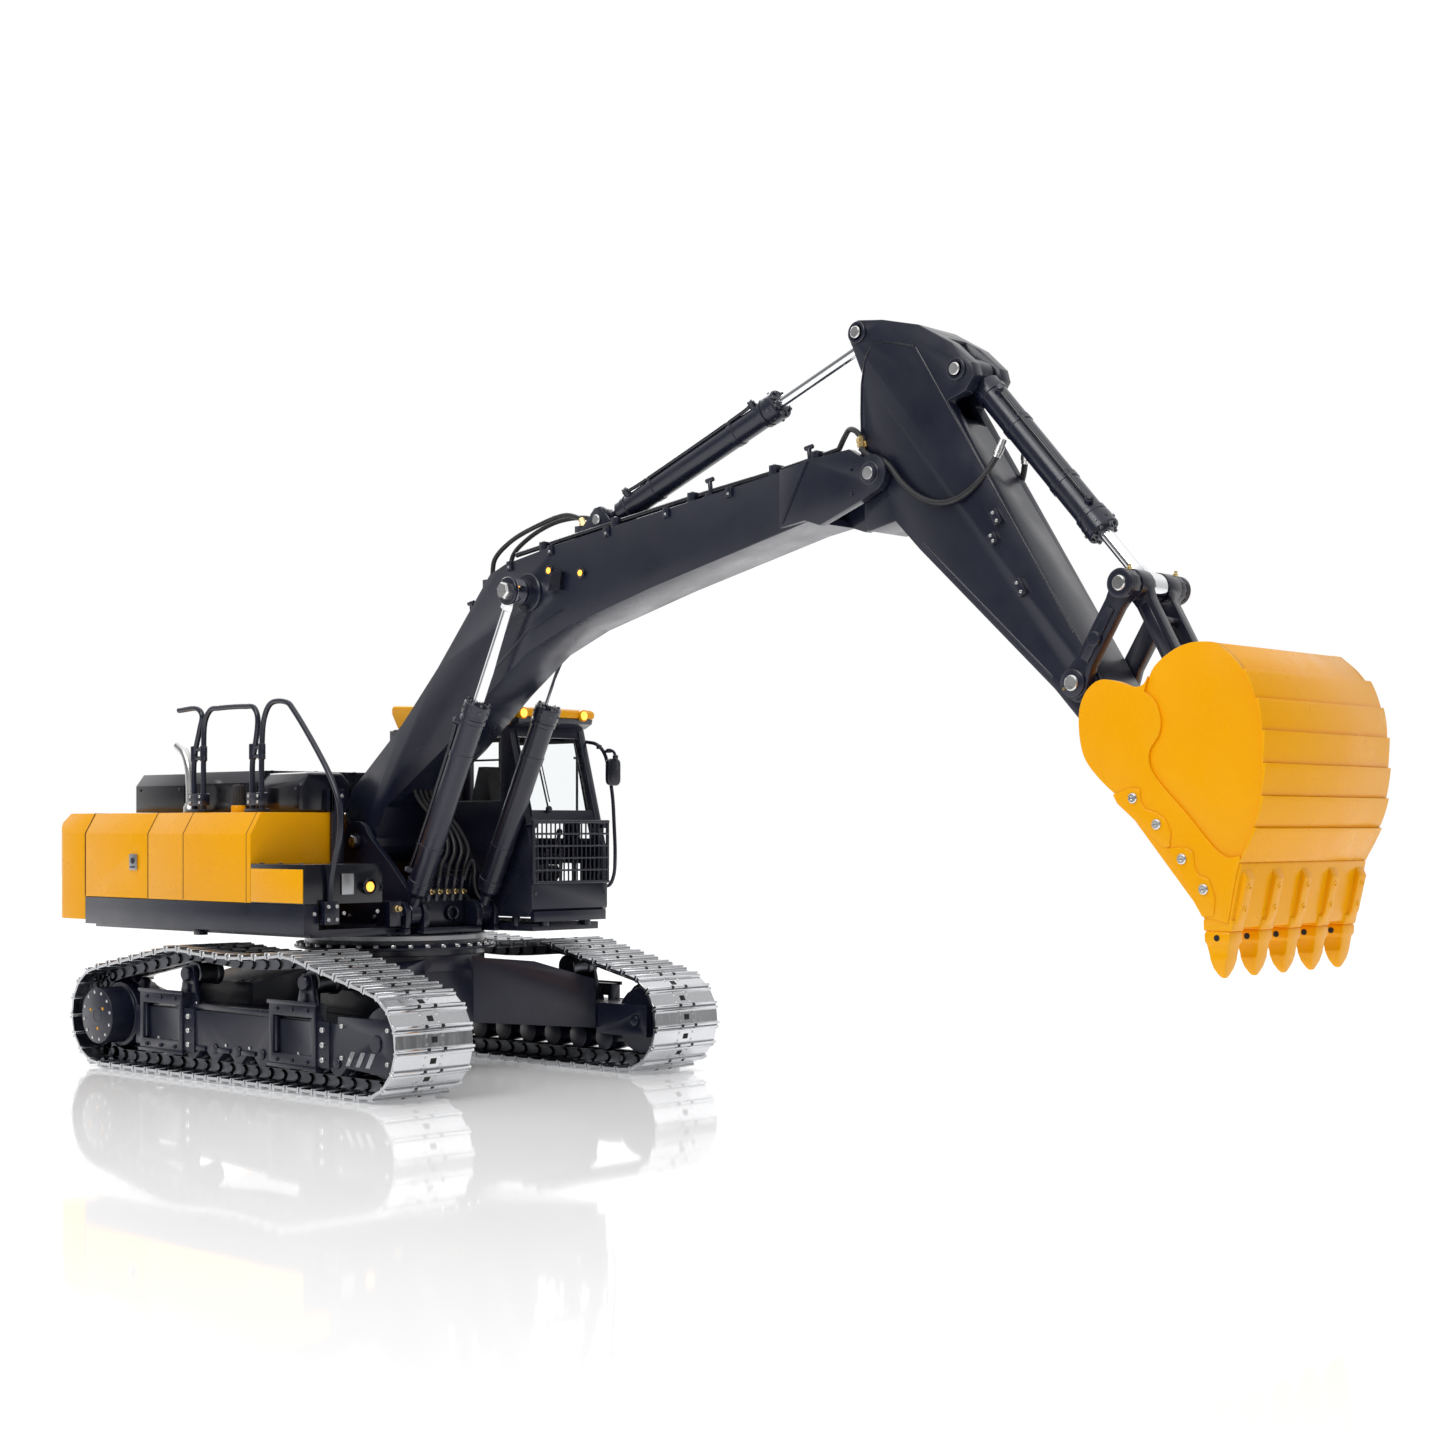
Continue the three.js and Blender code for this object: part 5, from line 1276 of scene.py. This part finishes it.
def inward(line, depth):
    """line moved to its left by depth."""
    moved = []
    for i, p in enumerate(line):
        a, b = line[max(i - 1, 0)], line[min(i + 1, len(line) - 1)]
        length = math.dist(a, b)
        moved.append((p[0] - (b[1] - a[1]) / length * depth, p[1] + (b[0] - a[0]) / length * depth))
    return moved


def bucket():
    back = smooth_line(BACK, 8)
    front = smooth_line(FRONT[:-1], 4) + [FRONT[-1]]
    shell = Shape()
    wrapper = [*back, *front[1:9]]
    shell.side([*wrapper, *reversed(inward(wrapper, 3))], -63.5, 63.5)
    shell.side([(722, 134), (735, 131), (741, 160), (738.2, 161), (732, 137)], -63.5, 63.5)
    cheek = smooth_line(CHEEK[:-1], 4) + [CHEEK[-1]]
    plate = [*back, *cheek[1:]]
    for s in (1, -1):
        shell.flank(plate, s, 62, 65)
    piece = shell.made("bucket_shell", "bucket", "paint_yellow", 0.5, 2)
    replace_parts(piece, "bucket")

    # Thicker plate round the ear and down the cutting edge, with a soft step where it ends.
    rim = [p for p in cheek if p[0] < 690 or p[1] < 150]
    heart = [*rim, (735, 131), *[q for q in back if q[1] < 163], *smooth_line(HEART_EDGE, 5)]
    plates = Shape()
    for s in (1, -1):
        plates.flank(heart, s, 64.9, 66.6)
    plates.made("bucket_side_plates", "bucket", "paint_yellow", 0.7, 3)

    # Wear bands across the back, each lapping over the next.
    bands = Shape()
    line = back
    total = [0.0]
    for a, b in zip(line, line[1:]):
        total.append(total[-1] + math.dist(a, b))

    def along(t):
        for i in range(len(line) - 1):
            if t <= total[i + 1]:
                k = (t - total[i]) / (total[i + 1] - total[i])
                return part_way(line[i], line[i + 1], k)
        return line[-1]

    starts = [31, 50, 66, 82, 98, 114, 130]
    for t0, t1 in zip(starts, starts[1:]):
        steps = [t0 + (t1 - t0) * k / 6 for k in range(7)]
        inner = [along(t) for t in steps]
        outer = inward(inner, -1.0)
        outer = [part_way(p, q, 0.35 + 1.5 * k / 6) for k, (p, q) in enumerate(zip(inner, outer))]
        bands.side([*inner, *reversed(outer)], -66.4, 66.4)
    bands.made("bucket_wear_bands", "bucket", "paint_yellow", 0.3, 2)

    # Lip, adapters with their bosses, and the ears with pins between them.
    lip, bosses, ears = Shape(), Shape(), Shape()
    lip.side(LIP, -65.6, 65.6)
    hollow = [(-0.6, 1.9), (1.2, 1.9), (1.5, 1.6), (1.5, 0.8), (0.8, 0.7)]
    for y in TEETH_Y:
        lip.side(ADAPTER, y - 4, y + 4)
        lip.side(SOCKET, y - 6.2, y + 6.2)
        for x, z in ((739.2, 138), (741.8, 149)):
            bosses.turned((x, y, z), (1, 0, -0.22), hollow, 20)
    lip.made("bucket_lip", "bucket", "paint_yellow", 0.7, 3)
    bosses.made("adapter_bosses", "bucket", "paint_yellow")
    ear = [
        *arc(LINK_PIN, 9.5, 0, 150, 12), *arc(WRIST, 12, 130, 290, 18), (668, 194), (671, 206), (678, 223.5),
        (684.5, 234), (694.5, 241.5), (700, 252),
    ]
    steel = Shape()
    for s in (1, -1):
        ears.flank(ear, s, 19.5, 25)
        for c, radius in ((LINK_PIN, 7), (WRIST, 9)):
            ears.turned(on(c, s * 25), (0, s, 0), [(0, radius), (1.6, radius), (2, radius - 0.6)], 36)
            steel.turned(on(c, s * 26.4), (0, s, 0), disc(4.6, 1.4, 2, 4), 30)
        for c, radius in ((WRIST, 5), (LINK_PIN, 4.4)):
            steel.rod(on(c, 0), on(c, s * 27), radius, 24)
        plate = Shape()
        for outline in CUTTERS:
            plate.flank(outline, s, 65, 67.6)
        plate.made(f"side_cutters_{'left' if s > 0 else 'right'}", "bucket", "paint_yellow", 0.7, 3)
        for x, z in ((681, 193.4), (695, 180), (709.8, 162.6), (722.2, 147.6)):
            steel.turned(
                (x, s * 66.8, z), (0, s, 0), [(0, 2.7), (1.4, 2.7), (1.9, 2.1), (1.9, 1.1), (1, 1.0)], 24
            )
    ears.made("bucket_ears", "bucket", "paint_yellow", 0.5, 2)
    steel.made("bucket_screws", "bucket", "screw")


bucket()


# A tooth cap from its top to its tip: z, half its width, and x from front to back.
TOOTH = [
    (127.0, 5.6, 722, 735), (125.6, 6.5, 721.2, 735.6), (121.5, 6.5, 721.4, 735.2), (120, 5.5, 722, 734.4),
    (114, 5.1, 723.6, 733.4), (112.6, 5.7, 724, 733), (108, 4.6, 725.4, 731.8), (104.6, 2.5, 727, 730.6),
    (103.2, 1.2, 728, 730),
]


def teeth():
    pins = Shape()
    for i, y in enumerate(TEETH_Y):
        tooth = Shape().rings(
            [
                [at(x0, y - w, z), at(x1, y - w, z), at(x1, y + w, z), at(x0, y + w, z)]
                for z, w, x0, x1 in reversed(TOOTH)
            ]
        )
        piece = tooth.made(f"tooth_cap_{i + 1}", "bucket", "paint_yellow", 0.55, 3, smooth=40)
        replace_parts(piece, f"tooth_{i + 1}")
        # Dark discs at each side of the tooth, at its pin: painted shade of the pin hole.
        for s in (1, -1):
            pins.turned((728.4, y + s * 6.4, 123.4), (0, s, 0), [(-0.3, 1.6), (0.3, 1.6), (0.35, 1.2)], 16)
    pins.made("tooth_pins", "bucket", "gap")


teeth()

# ---------------------------------------------------------------- studio
VIEW_SIDE = (0.68, -0.73, 0)  # level, from the model to the side that it is seen from


def backdrop_light():
    """White all round and overhead, and dim low down on the side that the model is seen from."""
    world = bpy.data.worlds.new("studio")
    bpy.context.scene.world = world
    world.use_nodes = True
    tree = world.node_tree
    place = tree.nodes.new("ShaderNodeTexCoord").outputs["Generated"]

    def facing(direction, start, end, low, high):
        dot = tree.nodes.new("ShaderNodeVectorMath")
        dot.operation = "DOT_PRODUCT"
        tree.links.new(place, dot.inputs[0])
        dot.inputs[1].default_value = direction
        spread = tree.nodes.new("ShaderNodeMapRange")
        tree.links.new(dot.outputs["Value"], spread.inputs["Value"])
        for key, number in (("From Min", start), ("From Max", end), ("To Min", low), ("To Max", high)):
            spread.inputs[key].default_value = number
        return spread.outputs[0]

    top = tree.nodes.new("ShaderNodeMath")
    top.operation = "MAXIMUM"
    tree.links.new(facing(VIEW_SIDE, -0.5, 0.05, 1.0, 0.16), top.inputs[0])
    tree.links.new(facing((0, 0, 1), 0.4, 0.85, 0.0, 1.2), top.inputs[1])
    seen = tree.nodes.new("ShaderNodeMix")
    tree.links.new(tree.nodes.new("ShaderNodeLightPath").outputs["Is Camera Ray"], seen.inputs["Factor"])
    tree.links.new(top.outputs[0], seen.inputs[2])
    seen.inputs[3].default_value = 1.0
    background = tree.nodes["Background"]
    background.inputs["Color"].default_value = (1, 1, 1, 1)
    tree.links.new(seen.outputs[0], background.inputs["Strength"])


def studio():
    floor_shape = Shape()
    floor_shape.box(-6000, 6000, -6000, 6000, -1.2, -0.2)
    look = Shader("studio_floor")
    look.set(Base_Color=look.blend(look.noise(4), (0.93, 0.93, 0.935, 1), (0.96, 0.96, 0.965, 1)))
    look.set(Roughness=look.spread(look.noise(9, 4), 0.03, 0.06), Specular_IOR_Level=0.6)
    look.set(Emission_Color=(1, 1, 1, 1), Emission_Strength=0.16)
    M["floor"] = look.material
    floor = floor_shape.made("studio_floor", None, "floor")
    backdrop_light()

    def panel(name, place, aim, width, height, power):
        data = bpy.data.lights.new(name, "AREA")
        data.shape = "RECTANGLE"
        data.size = width
        data.size_y = height
        data.energy = power
        lamp = bpy.data.objects.new(name, data)
        bpy.context.scene.collection.objects.link(lamp)
        lamp.location = place
        lamp.rotation_euler = (Vector(aim) - Vector(place)).to_track_quat("-Z", "Y").to_euler()

    panel("key", (0.3, -1.7, 1.5), (0, 0, 0.2), 1.3, 0.8, 16)
    panel("rim", (-1.5, 0.7, 1.3), (0, 0, 0.2), 1.0, 1.0, 9)
    panel("front", (1.9, 0.1, 0.9), (0, 0, 0.2), 0.9, 0.7, 2.5)

    data = bpy.data.cameras.new("camera")
    camera = bpy.data.objects.new("camera", data)
    bpy.context.scene.collection.objects.link(camera)
    camera.location = at(1302.8, -1043.3, 179)
    camera.rotation_euler = (math.radians(90), 0, math.radians(42.95))
    data.lens = 55.457
    data.sensor_width = 36
    data.shift_y = 0.0719
    data.clip_start = 0.01
    bpy.context.scene.camera = camera
    bpy.context.scene.view_settings.view_transform = "Standard"


studio()
